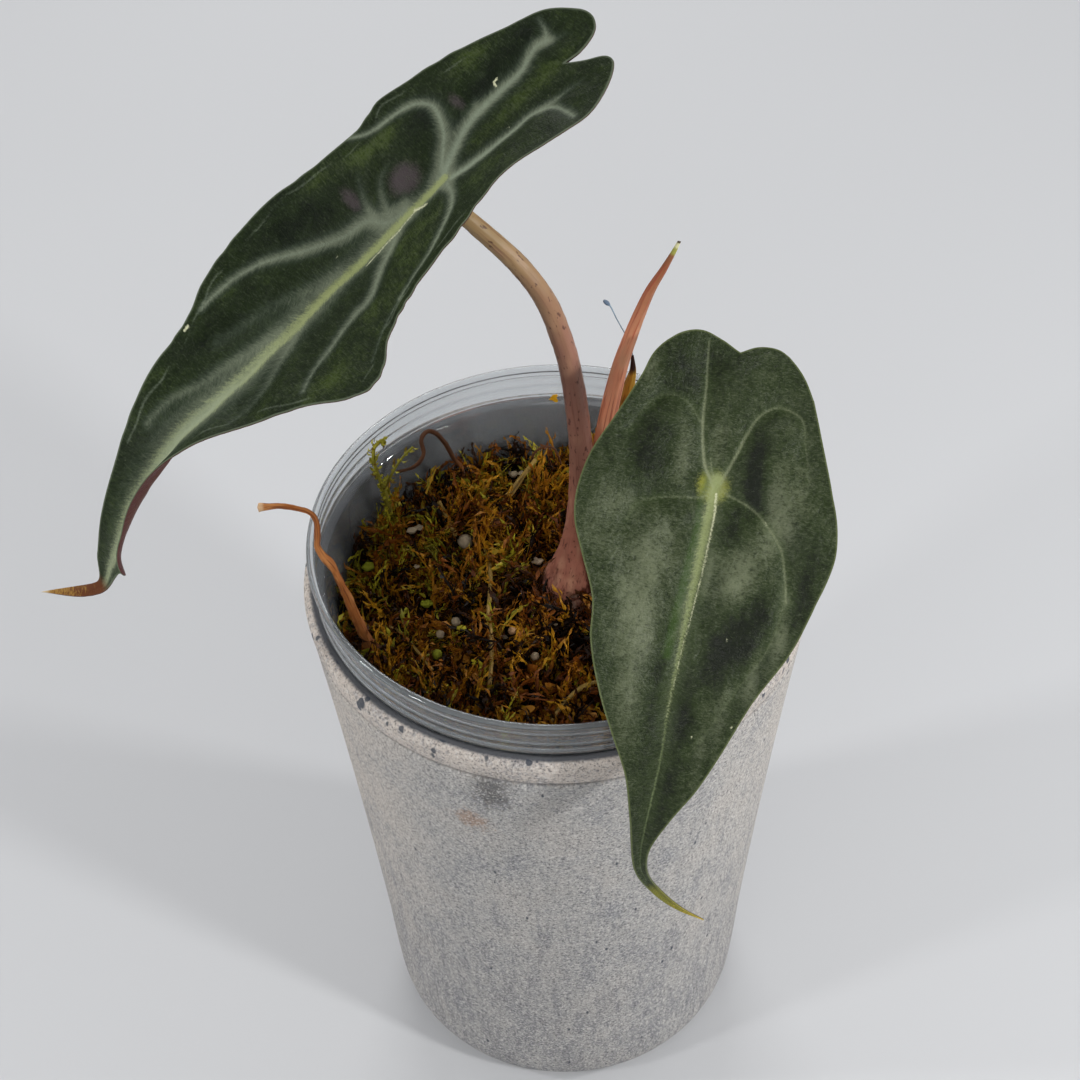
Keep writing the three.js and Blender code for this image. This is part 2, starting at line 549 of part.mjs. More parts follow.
// Bodies that stand in the moss, grown by the clear gap, for cutting its holes. The short one joins the hollow
// round the corm to the hole of the stalk above it.
function stemsInMoss() {
  const g = GAP + 0.15;
  const cuts = [tube(CORM.path, CORM.radii, 12, 8, g), tube(LEFT_PETIOLE.path, LEFT_PETIOLE.radii, 12, 30, g),
    tube(RIGHT_PETIOLE.path, RIGHT_PETIOLE.radii, 12, 20, g), tube(DRY_STALK.path, DRY_STALK.radii, 6, 24, g),
    tube(ROOT_LOOP.path, ROOT_LOOP.radii, 6, 20, g), tube(GREEN_CURL.path, GREEN_CURL.radii, 6, 12, g),
    sheath(SHEATH, [-0.2, 1, 0], 14, g), sheath(OLD_SHEATH, [0.3, 1, 0], 10, g)];
  cuts.push(tube([[5, 8, 134], [3, 8, 140]], [6, 6.4], 12, 2, g));
  ROOTS.forEach((path) => cuts.push(tube(path, ROOT_RADII, 5, 7, g)));
  BEADS.forEach(([x, y, r]) => cuts.push(beadGeometry(x, y, r + g)));
  return cuts;
}

function beadGeometry(x, y, radius) {
  const ball = new THREE.IcosahedronGeometry(radius, 1);
  ball.translate(x, y, mossHeight(x, y) + 1.6);
  return ball;
}

// Scrap of moss that clings to the back of the cup's wall
function yellowFlake() {
  const scrap = new THREE.IcosahedronGeometry(1, 1);
  scrap.scale(2, 0.6, 2.3);
  scrap.rotateY(radians(35));
  scrap.translate(0.6, 54.75, 158.8);
  return scrap;
}

function moss() {
  const random = seeded(MOSS_SEED);
  const strands = Array.from({ length: MOSS_STRANDS }, () => solidOf(mossStrand(random)));
  let body = wasm.Manifold.union([solidOf(mossBed()), ...strands]);
  body = body.subtract(wasm.Manifold.union(stemsInMoss().map(solidOf)));
  return geometryOf(largestPiece(body.simplify(0.06)));
}

function cormWithRoots() {
  const parts = [tube(CORM.path, CORM.radii, 12, 8), ...ROOTS.map((path) => tube(path, ROOT_RADII, 5, 7))];
  return geometryOf(largestPiece(wasm.Manifold.union(parts.map(solidOf))));
}

// A stalk is trimmed where it meets the underside of its blade
function trimmedStalk(stalk, leaf, sides, steps) {
  const grown = solidOf(blade(leaf, GAP));
  return geometryOf(largestPiece(solidOf(tube(stalk.path, stalk.radii, sides, steps)).subtract(grown)));
}

// The plant's parts, each with its material
const plant = new THREE.Group();
function add(name, geometry, material) {
  const mesh = new THREE.Mesh(geometry, material);
  mesh.name = name;
  plant.add(mesh);
}

add('cover_pot', coverPot(), MATERIALS.stoneware);
add('nursery_cup', nurseryCup(), MATERIALS.clearPlastic);
add('moss_fill', moss(), MATERIALS.moss);
add('corm_with_roots', cormWithRoots(), MATERIALS.corm);
add('left_leaf_blade', blade(LEFT_LEAF), MATERIALS.leaf);
add('right_leaf_blade', blade(RIGHT_LEAF), MATERIALS.leaf);
add('left_petiole', trimmedStalk(LEFT_PETIOLE, LEFT_LEAF, 12, 30), MATERIALS.petiole);
add('right_petiole', trimmedStalk(RIGHT_PETIOLE, RIGHT_LEAF, 12, 20), MATERIALS.petiole);
add('pink_sheath', sheath(SHEATH, [-0.2, 1, 0], 14), MATERIALS.sheath);
add('old_sheath', sheath(OLD_SHEATH, [0.3, 1, 0], 10), MATERIALS.drySheath);
add('sheath_filament', tube(FILAMENT.path, FILAMENT.radii, 6, 14), MATERIALS.filament);
add('dry_stalk', tube(DRY_STALK.path, DRY_STALK.radii, 6, 24), MATERIALS.dryStalk);
add('root_loop', tube(ROOT_LOOP.path, ROOT_LOOP.radii, 6, 20), MATERIALS.root);
add('green_moss_curl', tube(GREEN_CURL.path, GREEN_CURL.radii, 6, 12), MATERIALS.greenMoss);
add('yellow_moss_flake', yellowFlake(), MATERIALS.yellowMoss);
BEADS.forEach(([x, y, r], i) => add(`bead_${i + 1}`, beadGeometry(x, y, r), MATERIALS.bead));

export default plant;
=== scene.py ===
# Potted alocasia: the finished looks of the cover pot, the clear nursery cup, the moss and the plant.
# Sizes are millimetres unless a name says otherwise, and MM turns them to Blender's metres.
import math
import random

import bpy
import numpy as np
from bpy.props import FloatProperty, FloatVectorProperty, IntProperty, PointerProperty
from mathutils import Matrix, Vector, noise
from mathutils.kdtree import KDTree


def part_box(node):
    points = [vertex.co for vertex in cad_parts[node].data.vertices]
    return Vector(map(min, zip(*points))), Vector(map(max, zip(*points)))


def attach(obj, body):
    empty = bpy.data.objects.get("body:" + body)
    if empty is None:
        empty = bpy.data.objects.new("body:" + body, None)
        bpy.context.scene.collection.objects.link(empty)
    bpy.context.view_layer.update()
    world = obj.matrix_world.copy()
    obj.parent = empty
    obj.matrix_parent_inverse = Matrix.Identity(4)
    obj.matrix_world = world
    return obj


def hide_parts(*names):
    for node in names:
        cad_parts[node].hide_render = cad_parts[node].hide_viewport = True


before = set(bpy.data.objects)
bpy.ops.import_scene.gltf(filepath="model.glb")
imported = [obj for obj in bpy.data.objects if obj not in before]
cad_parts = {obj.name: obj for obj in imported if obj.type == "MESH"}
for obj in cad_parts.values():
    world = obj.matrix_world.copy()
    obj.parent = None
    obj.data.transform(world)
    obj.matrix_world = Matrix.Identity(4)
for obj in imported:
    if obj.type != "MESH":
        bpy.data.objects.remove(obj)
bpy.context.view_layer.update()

bl_info = {
    "name": "Potted alocasia",
    "version": (1, 0, 0),
    "blender": (4, 5, 0),
    "location": "3D View > Sidebar > Alocasia",
    "description": "Builds the finished surfaces of a potted alocasia round its construction model",
    "category": "Add Mesh",
}

MM = 0.001
BODY = "root"


# Sizes that the construction model gives
POT_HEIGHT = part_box("cover_pot")[1].z / MM
POT_RIM_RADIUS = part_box("cover_pot")[1].x / MM
CUP_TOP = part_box("nursery_cup")[1].z / MM
CUP_RIM_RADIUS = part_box("nursery_cup")[1].x / MM
CUP_BASE_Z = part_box("nursery_cup")[0].z / MM

# Vessels
POT_WALL = 4
POT_FLOOR = 7
RING_DROP = 7.5
POT_OUTSIDE = [(0, 38.5), (2, 42), (6, 44.6), (12, 45.9), (39, 48), (78, 51.6), (117, 55.6), (150, 59.4)]
POT_INSIDE = [(117, 51.4), (78, 47.4), (39, 43.8), (12, 41.5), (POT_FLOOR, 38)]
# Soft painted leaf shadow and rust stain on the pot's face: place across, height, half width, half height
POT_MARKS = {"painted_leaf_shadow": (-16.5, 143, 4.5, 7), "rust": (-21.5, 128, 4, 4)}
CUP_BASE_RADIUS = 40
CUP_NECK_RADIUS = 55.2
CUP_WALL = 0.8
CUP_SEAT = POT_HEIGHT + 0.35
# The ledge by which the cup hangs, below and above, as distances in from its rim and up from its seat
LEDGE_BELOW = [(2.4, 0.3), (1.7, 0.6), (1.35, 0.95)]
LEDGE_ABOVE = [(1.9, 1.7), (2.4, 1.4)]
RIB_WALL = 0.6
RIB_INSET = 1.3
RIB_DEPTH = 0.15
RIB_PITCH = 3.3
CUP_LIP_RADIUS = 0.9
ROUND_STEPS = 160

# Moss
MOSS_TOP = 140
MOSS_REACH = 50.5
MOSS_SEED = 11
GRAIN_RISE = 1.8
CRUMB_RISE = 2.4
SPRIG_KINDS = 20
LEAFLETS = 10
SPRIG_BOWS = (1.4, 2.2, 3.0, -1.6)
# Breadth of a sprig's leaflets for their length, and the range of that length
LEAFLET_SIZES = ((0.16, (0.14, 0.3)), (0.22, (0.12, 0.24)), (0.12, (0.2, 0.4)))
# Name of each heap of sprigs, its range of shades, its scale, and how far it keeps to the back left
SPRIG_HEAPS = (("moss_sprigs_brown", (0.04, 0.66), 0.9, 0), ("moss_sprigs_ochre", (0.14, 0.8), 1.2, 0),
               ("moss_sprigs_green", (0.24, 1.1), 1.0, 0.85))
LITTER_SCRAPS = 110
# Swelling of the bed that carries the green curl: place, height and spread
MOUND = (-40, 26, 3.2, 160)

# Camera and lights, in millimetres and degrees
VIEW_PITCH = 46.8
VIEW_ROLL = -1.72
VIEW_DISTANCE = 607.6
VIEW_TARGET = (-3.8, 0, 165.6)
SENSOR = 36
FOCAL_LENGTH = 86.67
# Name, bearing from the right, height angle, distance, width, height and watts
SOFTBOXES = [("right_front_box", -38, 30, 850, 80, 80, 2.6), ("right_back_box", -7, 30, 850, 80, 80, 1.9),
             ("left_front_box", 211, 34, 850, 80, 80, 1.1), ("left_back_box", 186, 34, 850, 80, 80, 1.5),
             ("back_box", 94, 32, 1200, 600, 400, 4.4), ("front_box", -100, 50, 1150, 600, 500, 1.0)]
LIGHTS_AIM = (0, 0, 100)
ROOM_COLOUR = "#fafbfd"
ROOM_STRENGTH = 0.33
FLOOR_METRES = 40

# Leaf blades. A blade is drawn flat first: x runs along the midrib, 0 at the stalk and rising to the tip,
# and y is positive on the left half. The stations then say where the midrib runs in space, which way the
# left half points, how far each half folds up in degrees, and how far each margin lifts.
LOBE_JOIN = -22
BLADE_THICKNESS = 0.6
LEFT_LEAF = {
    "stalk_station": 3,
    "notch": (-38, -0.5),
    "lobes": (
        [(-38, -0.5), (-42, -1.6), (-47, -1), (-49.6, 2), (-49, 6), (-44, 13), (-34, 16.8),
         (LOBE_JOIN, 21.2)],
        [(-38, -0.5), (-41, -4.5), (-44, -8.5), (-44, -11.5), (-40, -15), (-34, -18), (-28, -18),
         (LOBE_JOIN, -17.6)],
    ),
    "widths": (
        [(LOBE_JOIN, 21.2), (-14, 23.9), (-5, 26.3), (5, 24.7), (18, 25.2), (29, 26.7), (40, 25.6),
         (49, 23.6), (55, 20.6), (68, 17), (80, 12), (92, 8.3), (104, 6.5), (115, 4.1), (122, 1.8),
         (130, 1.3), (139, 0)],
        [(LOBE_JOIN, 17.6), (-13, 16.4), (-6, 17.4), (2, 19.6), (12, 20.2), (23, 22), (31, 25), (37, 29.6),
         (43, 31), (48, 28.4), (53, 22.6), (60, 16.8), (70, 11.4), (78, 7.6), (88, 4.2), (98, 2.6),
         (104, 2.3), (109, 6.2), (115, 2.8), (122, 1.4), (130, 1.2), (139, 0)],
    ),
    "at": [(12, 41, 282), (4, 35, 276), (-10, 27, 267), (-24, 18, 257), (-45, 7, 241), (-69, -12, 228),
           (-80, -20, 222), (-89, -26, 211), (-94, -28, 201), (-98, -27, 191), (-102, -26, 182),
           (-116, -23, 178)],
    "side": [(-0.56, 0.83, 0)] * 6 + [(-0.56, 0.83, 0.1)] + [(-0.5, 0.83, 0.2)] * 4 + [(-0.5, 0.83, 0.3)],
    "fold": [(8, 8), (8, 8), (8, 8), (10, 10), (10, 10), (12, 12), (15, 36), (20, 70), (20, 52), (20, -10),
             (20, 20), (20, 20)],
    "lift": [(0, 0), (0, 0), (0, 3), (-1, 4), (1, 0)] + [(0, 0)] * 7,
}
RIGHT_LEAF = {
    "stalk_station": 2,
    "notch": (-31.5, -0.5),
    "lobes": (
        [(-31.5, -0.5), (-33.5, 4), (-34.5, 9), (-32.5, 14), (-28, 18), (LOBE_JOIN, 20)],
        [(-31.5, -0.5), (-33.5, -4.5), (-33.5, -9), (-30.5, -12.8), (-27, -15.6), (LOBE_JOIN, -18.2)],
    ),
    "widths": (
        [(LOBE_JOIN, 20), (-11, 24.4), (-2, 28), (7, 29.3), (14, 28.5), (22, 25), (30, 20.9), (38, 19.5),
         (46, 16.4), (56, 11.6), (67, 6.8), (80, 3.2), (92, 1.5), (106, 0.9), (117, 0)],
        [(LOBE_JOIN, 18.2), (-11, 21.9), (-2, 25), (5, 27.4), (12, 28.1), (22, 25.9), (32, 23.3),
         (44, 17.7), (54, 14.1), (64, 10), (74, 5.5), (84, 2.2), (92, 1.4), (106, 0.9), (117, 0)],
    ),
    "at": [(43.5, 12, 225), (41, 4, 220), (34.5, -24, 206.5), (30.5, -38, 198.3), (26.5, -50, 189.4),
           (23, -60, 178), (20.3, -68, 164), (18, -72, 154), (16.3, -74.2, 143), (16.7, -75, 136.5),
           (20, -75, 129.5), (25, -75, 122.7), (31, -75, 117.3)],
    "side": [(-1, 0.1, 0.05)] * 10 + [(-1, 0.1, -0.2)] * 3,
    "fold": [(6, 6)] * 4 + [(8, 8), (10, 10), (12, 12), (15, 15)] + [(20, 20)] * 5,
    "lift": [(0, 0)] * 13,
}

# Veins in the flat blade: path, half width of the thin line and of the soft halo, and their strengths,
# each at the start and the end of the path
LEFT_VEINS = [
    ([(-2, 0.5), (-12, 4.8), (-23, 5.6), (-30, 6), (-36, 7.8), (-39.5, 6.7)], (1.2, 0.8), (0.75, 0.5),
     (2.3, 1.7), (1.0, 0.85)),
    ([(-39, 6.9), (-41, 9), (-42, 12)], (0.6, 0.4), (0.5, 0.3), (1.4, 1.0), (0.8, 0.4)),
    ([(-37, 7.5), (-41, 5.6), (-44, 4)], (0.5, 0.3), (0.4, 0.1), (1.3, 0.8), (0.7, 0.2)),
    ([(-4, -1.3), (-10, -3), (-20, -5), (-26, -5.4), (-30, -8.3), (-31.6, -15.3)], (0.9, 0.5), (0.8, 0.5),
     (1.9, 1.2), (0.95, 0.7)),
    ([(-28, -6.3), (-33, -6.9), (-38, -8)], (0.5, 0.3), (0.4, 0.2), (1.5, 0.8), (0.8, 0.2)),
    ([(-3, 1.5), (-6, 4.6), (-10, 8.5), (-12.4, 14.5), (-10.6, 18.6), (-6, 20.7), (3, 22.2), (7.5, 24.6)],
     (0.7, 0.35), (0.6, 0.6), (2.3, 0.8), (0.9, 0.75)),
    ([(-18, 6), (-19.7, 9.7)], (0.3, 0.2), (0.2, 0), (1.2, 0.5), (0.6, 0.1)),
    ([(8, 1.2), (12.6, 2.2), (16.3, 6.4), (22.3, 7.8), (30, 12.3), (37, 17), (43, 19.3), (49, 19.6),
      (53, 19.2)], (0.8, 0.35), (0.4, 0.5), (2.7, 1.0), (1.0, 0.7)),
    ([(11.5, 3), (10.2, 7.4), (8, 11.2), (4.8, 12.6)], (0.3, 0.2), (0.3, 0), (1.6, 0.8), (0.8, 0.25)),
    ([(14.5, 5), (13.6, 10.5), (11, 16.2)], (0.3, 0.2), (0.3, 0), (1.5, 0.8), (0.8, 0.2)),
    ([(46, 1.5), (58, 4.6), (64, 5.7), (72, 7.6), (79, 7.8)], (0.4, 0.3), (0.2, 0.2), (1.6, 1.2),
     (0.55, 0.5)),
    ([(28, 1), (36, 5), (46, 8.6), (56, 11)], (0.3, 0.2), (0.1, 0.1), (2.2, 1.6), (0.4, 0.3)),
    ([(-2.4, -1.5), (-1.6, -6), (1.5, -10.3), (7.5, -14.5), (15, -17), (20, -18.4)], (0.6, 0.3), (0.5, 0.4),
     (1.7, 0.8), (0.9, 0.6)),
    ([(12, -1), (20, -6.5), (25, -10.3), (32.5, -11.2), (42, -13), (49, -14.7), (52.5, -17)], (0.7, 0.35),
     (0.4, 0.4), (2.0, 0.9), (0.95, 0.6)),
    ([(42, -1), (52, -5.4), (60, -8.2), (68, -9.4)], (0.4, 0.3), (0.3, 0.2), (1.5, 1.0), (0.6, 0.3)),
    ([(20, -18.4), (30, -21.5), (38, -25.6)], (0.35, 0.3), (0.4, 0.3), (0.8, 0.6), (0.4, 0.3)),
]
LEFT_MIDRIB = ([(-3, 0.2), (10, 0), (40, 0), (75, 0), (95, 0), (122, 0)], (1.0, 1.2, 1.5, 2.0, 2.4, 0.9),
               (1.0, 0.95, 0.85, 0.8, 0.7, 0.5), (2.0, 3.4, 4.8, 5.6, 4.2, 1.5),
               (0.9, 0.85, 0.8, 0.8, 0.75, 0.5))
RIGHT_VEINS = [
    ([(0, 0.4), (-4.6, 3.1), (-13.8, 5), (-23.3, 5.6), (-32.6, 6.7)], (0.5, 0.35), (0.9, 0.45), (1.2, 0.9),
     (0.55, 0.3)),
    ([(-1, 0.3), (-6, 2.0), (-11, 2.4)], (0.35, 0.2), (0.8, 0.1), (0.7, 0.4), (0.4, 0.1)),
    ([(-13.5, 5.2), (-17, 8), (-18.8, 11.5), (-18.4, 15), (-15, 18), (-9, 21)], (0.5, 0.3), (0.35, 0.3),
     (1.3, 0.8), (0.4, 0.2)),
    ([(-0.7, -0.7), (-7.6, -3.1), (-13.5, -4.9), (-17.6, -7), (-20, -11), (-17.8, -16), (-12.3, -17.6),
      (-4, -19.5)], (0.45, 0.3), (0.85, 0.3), (1.2, 0.8), (0.5, 0.2)),
    ([(2, 1), (3.2, 3), (5, 11), (7.4, 15.8), (12, 17.6)], (0.35, 0.3), (0.6, 0.3), (0.8, 1.0), (0.3, 0.3)),
    ([(1, -1.9), (3.6, -8.6), (7.3, -13), (11, -16.3), (16.8, -18.4), (21.7, -19.8)], (0.4, 0.35),
     (0.5, 0.6), (1.1, 1.0), (0.4, 0.5)),
    ([(33, -4.3), (39, -7), (44, -8.8), (50, -10.4)], (0.3, 0.3), (0.1, 0.3), (0.7, 0.6), (0.1, 0.2)),
    ([(21.7, -19.6), (32, -18.3), (42.7, -13.5), (50, -10.4), (59.5, -5.6)], (0.4, 0.3), (0.4, 0.3),
     (1.6, 1.0), (0.35, 0.2)),
    ([(26, 0.8), (30, 3), (35, 6)], (0.35, 0.2), (0.4, 0.0), (0.9, 0.6), (0.3, 0.1)),
    ([(32, 0.8), (36, 3), (41, 5)], (0.35, 0.2), (0.4, 0.0), (0.9, 0.6), (0.3, 0.1)),
]
RIGHT_MIDRIB = ([(-2, 0), (4, 0.2), (20, 0.2), (40, 0), (70, 0), (96, 0)], (1.4, 1.25, 0.8, 0.4, 0.3, 0.25),
                (1.0, 0.8, 0.6, 0.45, 0.4, 0.3), (2.4, 3.0, 2.8, 2.2, 1.6, 0.8),
                (0.8, 0.7, 0.55, 0.45, 0.35, 0.2))

# Painted shade and sheen in the flat blade: x, y, half length, half width and how far it lightens or darkens
LEFT_SHADE_AND_SHEEN = [
    (-9, 14.5, 5.5, 4, -1.0), (-22, 9, 6, 2.6, -0.9), (-38, 11.8, 5, 3, -0.7), (-13, 7.2, 2.5, 2, -0.7),
    (-30, 10.3, 6, 3, -0.7), (26, 17.4, 10, 5, -0.8), (52, 10.7, 9, 3.5, -0.5), (64, 14.2, 8, 3, -0.4),
    (30, 24.5, 14, 2.4, -0.3), (0.2, 18, 6, 2.2, 1.0), (8, 19, 7, 1.8, 0.8), (18, 21.5, 8, 2.2, 0.7),
    (-24.9, 16.4, 6, 2.4, 0.7), (-33, 0.3, 7, 2.2, 0.8), (-21.4, 0.3, 8, 1.8, 0.6), (-9.7, -9, 5, 3.5, 0.5),
    (12.8, -6.2, 5, 2.4, 0.6), (4.5, -7.5, 5, 2.2, 0.5), (11.2, -11.5, 5, 1.6, 0.6), (25, -15, 9, 3, 0.6),
    (46.4, -21, 7, 4, 0.7), (43, 27, 8, 2, 0.4), (69, 14, 8, 1.6, 0.5), (34, -7.5, 7, 2, -0.2),
    (100, 1.5, 16, 2.6, 0.8),
]
# Painted purple-grey sheen on the left blade: x, y, half length, half width and strength
LEFT_PURPLE_SHEEN = [(3.6, 6.8, 4.6, 4.4, 1.0), (15.5, 12.4, 1.9, 4.6, 0.85), (-16.4, 11, 1.6, 3.4, 0.7)]
RIGHT_SHADE_AND_SHEEN = [
    (-3, 15.5, 5.5, 4, -0.75), (-9.5, 16, 4.5, 4.5, -0.5), (-25, 11, 6, 5, -0.6), (-28, 3.5, 4, 3.5, -0.5),
    (-8.7, -7.8, 4.5, 1.9, -1.0), (-2.0, -7.9, 5, 1.9, -1.1), (2.4, -9.2, 2.6, 2.0, -0.9),
    (8.5, -5.4, 5, 1.8, -0.9), (31.6, -12, 6, 4.2, -1.1), (37, -8, 5.5, 3, -0.9), (26.5, -15, 5, 3, -0.7),
    (18, -23, 9, 1.8, -0.7), (51, -3.4, 9, 2.4, -0.7), (72, -2.6, 12, 2, -0.6), (60, 3, 12, 2, -0.35),
    (39, 3.6, 10, 1.8, -0.6),
    (-5, 8.2, 5.5, 2, 0.8), (-0.5, -13.2, 7, 2.2, 0.75), (5.7, -16.5, 5, 2.4, 0.7),
    (-1.9, -18, 7, 3.2, 0.35), (11.4, 21, 9, 5, 0.5), (-24, 18, 6, 2, 0.4), (-9, 0.6, 6, 2.2, 0.45),
    (17, 10, 7, 4.5, 0.65), (28, 12, 9, 5, 0.85), (36, 8.4, 6, 3, 0.65), (46, 10, 9, 3.2, 0.55),
    (10.4, -13, 4, 2.4, 0.5), (19, -8.5, 6, 4.5, 1.0), (29, -20.3, 7, 1.8, 0.8),
    (38.2, -16.4, 7, 1.6, 0.8), (47.5, -11.3, 7, 1.5, 0.6), (57, -8, 7, 1.3, 0.4),
    (20.5, -2.2, 6, 0.9, 0.8),
]
# Bright threads and specks, and green bands beside the midrib: path, half width and strength
RIGHT_CREAM = [
    ([(1.5, -0.4), (8, -0.9), (16, -1.0), (26, -0.8), (38, -0.3), (52, 0)], (0.34, 0.26), (1.0, 0.5)),
    ([(32.2, -9.4), (32.5, -9.4)], (0.22, 0.22), (1, 1)),
    ([(50.7, -14.1), (51, -14)], (0.25, 0.25), (1, 1)),
    ([(54.8, -5.9), (55, -5.9)], (0.22, 0.22), (1, 1)),
    ([(6.1, -12), (6.6, -12.2)], (0.3, 0.25), (0.9, 0.8)),
]
RIGHT_GREEN = [([(8, 1.8), (16, 2.1), (26, 2.3), (38, 2.4)], (1.2, 1.5), (1.0, 0.8)),
               ([(-3, 1.2), (2, 2.2), (8, 2.6)], (1.6, 1.0), (0.7, 0.6))]
LEFT_CREAM = [
    ([(3.6, -1.8), (5.2, -1.1), (6.4, -0.3)], (0.55, 0.6), (0.9, 1.0)),
    ([(6.4, -0.6), (9, -1.1), (14, -1.2), (19, -1.6), (22, -2.0)], (0.5, 0.4), (0.7, 0.8)),
    ([(-24.2, 7.2), (-24.4, 8.2), (-25.4, 8.4)], (0.32, 0.32), (1, 1)),
    ([(58, 18.4), (59.2, 18.2)], (0.6, 0.4), (1, 1)),
    ([(25.3, 4.7), (25.7, 4.8)], (0.25, 0.25), (0.6, 0.6)),
    ([(-20.2, -3.4), (-20, -3.1)], (0.28, 0.28), (0.9, 0.9)),
]

# All that marks a blade. A ripple of the margin has its range of x, its half, its height and its length.
LEFT_MARKS = {
    "veins": LEFT_VEINS, "midrib": LEFT_MIDRIB, "cream": LEFT_CREAM, "green": [], "shade_and_sheen_areas": LEFT_SHADE_AND_SHEEN,
    "sheen_and_junction_tint": LEFT_PURPLE_SHEEN, "edge_line": 0.4, "tail_from": 119, "seed": 1.7, "puff": 0.7, "lumps": 0.5,
    "small": 0.12, "ripples": [(-14, 62, -1, 0.14, 5.8), (-30, 90, 1, 0.15, 8.5)],
}
RIGHT_MARKS = {
    "veins": RIGHT_VEINS, "midrib": RIGHT_MIDRIB, "cream": RIGHT_CREAM, "green": RIGHT_GREEN,
    "shade_and_sheen_areas": RIGHT_SHADE_AND_SHEEN, "sheen_and_junction_tint": [(0.2, 0.6, 3.8, 3.4, 1.2)], "edge_line": 0.15, "tail_from": 96,
    "seed": 4.2, "puff": 1.1, "lumps": 0.9, "small": 0.2,
    "ripples": [(-20, 60, -1, 0.3, 9), (-20, 60, 1, 0.2, 12)],
}
# Relief of a blade: reach of the swelling between veins, depth of a vein's furrow, height and half width of
# the rib below and of the stalk's seat, and the share by which the margin is thinner
PUFF_REACH = 3.4
FURROW_DEPTH = 0.25
RIB_BELOW = (1.5, 1.7)
STALK_SEAT = (1.2, 3.2)
MARGIN_THINNING = 0.35

# Colours of the left and the right blade, how strong each is, how strongly each pattern breaks them up, and
# the surface
BLADE_LOOKS = {
    # The bright and dark colours are the painted sheen and painted shade laid over the puckers
    "middle": ("#1f2a13", "#263310"), "dark": ("#0f170b", "#0a1103"), "bright": ("#404f1c", "#70775a"),
    # Purple-grey is painted sheen on the left blade; the right blade's yellow-green here tints its stalk
    # junction
    "sheen_and_junction_tint": ("#574c50", "#a3a436"), "sheen_and_junction_share": (0.75, 0.95),
    "leaf_green": ("#3c5a16", "#2f4a0c"), "haze": ("#424c3f", "#4d5c38"), "haze_share": (0.6, 0.3),
    "halo": ("#808872", "#82896a"), "halo_share": (0.85, 0.45),
    "rib": ("#9aa690", "#a3a986"), "rib_share": (0.75, 0.6), "midrib": ("#a2ab72", "#939d69"),
    "far_rib": ("#a3ad93", "#7f9068"), "margin": ("#6c7660", "#6a7448"), "tail": ("#6b4028", "#7d7c2c"),
    "tail_line": ("#b08a45", "#c0a838"), "point": ("#d9c39c", "#c9b04a"),
    "under": ("#54302f", "#4f4a35"), "under_share": (0.95, 0.9),
    # The pale fibres are the skin's own, with painted sheen on them, strongest where the broad sheen is
    # painted
    "fibre_sheen_colour": ("#5c6450", "#767d66"), "fibre_sheen": ((0.55, 0.8, 0.3), (0.48, 0.84, 0.34)),
    # relief is the share of painted shade in the hollows of the bumped grain
    "relief": (0.4, 0.45), "hairs": (0.7, 0.6), "cloud": (1.1, 0.9), "hide": (0.5, 0.4),
    "fibre": (0.5, 0.35), "cells": (0.4, 0.3), "askew": (20, 80), "stretch": (5, 3),
    "specular": (0.12, 0.33), "gloss": ((0.42, 0.5), (0.48, 0.36)), "bump": (0.6, 0.8),
}

# Stalks and the other slim pieces: the centre line, and radii at even stations
LEFT_PETIOLE = {
    "path": [(2.9, 8, 137.4), (3.1, 8, 143), (4, 8, 149), (5.3, 8, 160.4), (6, 8.3, 170.3), (6.2, 8.5, 180),
             (6.1, 8.7, 189.9), (5, 9.5, 203.3), (3.9, 10.2, 211.8), (2.2, 11, 219.2), (-0.4, 12, 227.7),
             (-4.3, 13, 235.2), (-9.9, 14.5, 242.1), (-15.5, 16, 247.7), (-20.3, 17.3, 252.4),
             (-22.8, 18, 255.2)],
    "stations": [0, 0.03, 0.055, 0.085, 0.13, 0.2, 0.3, 0.5, 0.7, 0.9, 1],
    "radii": [6.9, 6.8, 6.1, 5.1, 4.0, 3.2, 2.85, 2.6, 2.4, 2.1, 1.9],
}
RIGHT_PETIOLE = {
    "path": [(12.6, 4.6, 137.4), (14.5, 2, 152), (18, -3, 172), (23, -9, 189), (29, -16.5, 200),
             (33.6, -22.6, 204.9)],
    "radii": [3.8, 3.2, 2.9, 2.6, 2.3, 2.1],
}
SHEATH = {
    "path": [(9, 16.4, 137.6), (9.3, 15, 152), (9.8, 13, 168), (10.8, 10.9, 181), (11.8, 10.1, 188.8),
             (13.2, 10.5, 198.3), (15.5, 11.4, 209.7), (17.7, 12, 217.6), (19.7, 12.6, 223.9),
             (22.2, 13.2, 230.6), (24.9, 13.7, 235.8), (27.1, 14, 240.6), (28.2, 14.2, 243.2)],
    "widths": [3.6, 3.5, 3.2, 2.8, 2.45, 2.2, 1.85, 1.3, 0.45],
    "opening": (-0.2, 1, 0),
}
OLD_SHEATH = {
    "path": [(19.5, 13.5, 137.6), (18.2, 15, 156), (16.8, 16.4, 175), (16.9, 17, 191.4), (17.6, 17, 197.7),
             (18.5, 17.2, 202.7), (18.4, 18, 206.8)],
    "widths": [2.8, 2.8, 2.7, 2.5, 1.9, 0.35],
    "opening": (0.3, 1, 0),
}
FILAMENT = {
    "path": [(18.4, 18, 206.9), (18, 16.6, 212), (16.6, 15.4, 215.8), (14.6, 15.4, 220.6),
             (13.3, 15.4, 224.1), (11.9, 15.4, 225.8)],
    "stations": [0, 0.9, 0.94, 0.97, 1],
    "radii": [0.17, 0.17, 0.5, 0.52, 0.3],
}
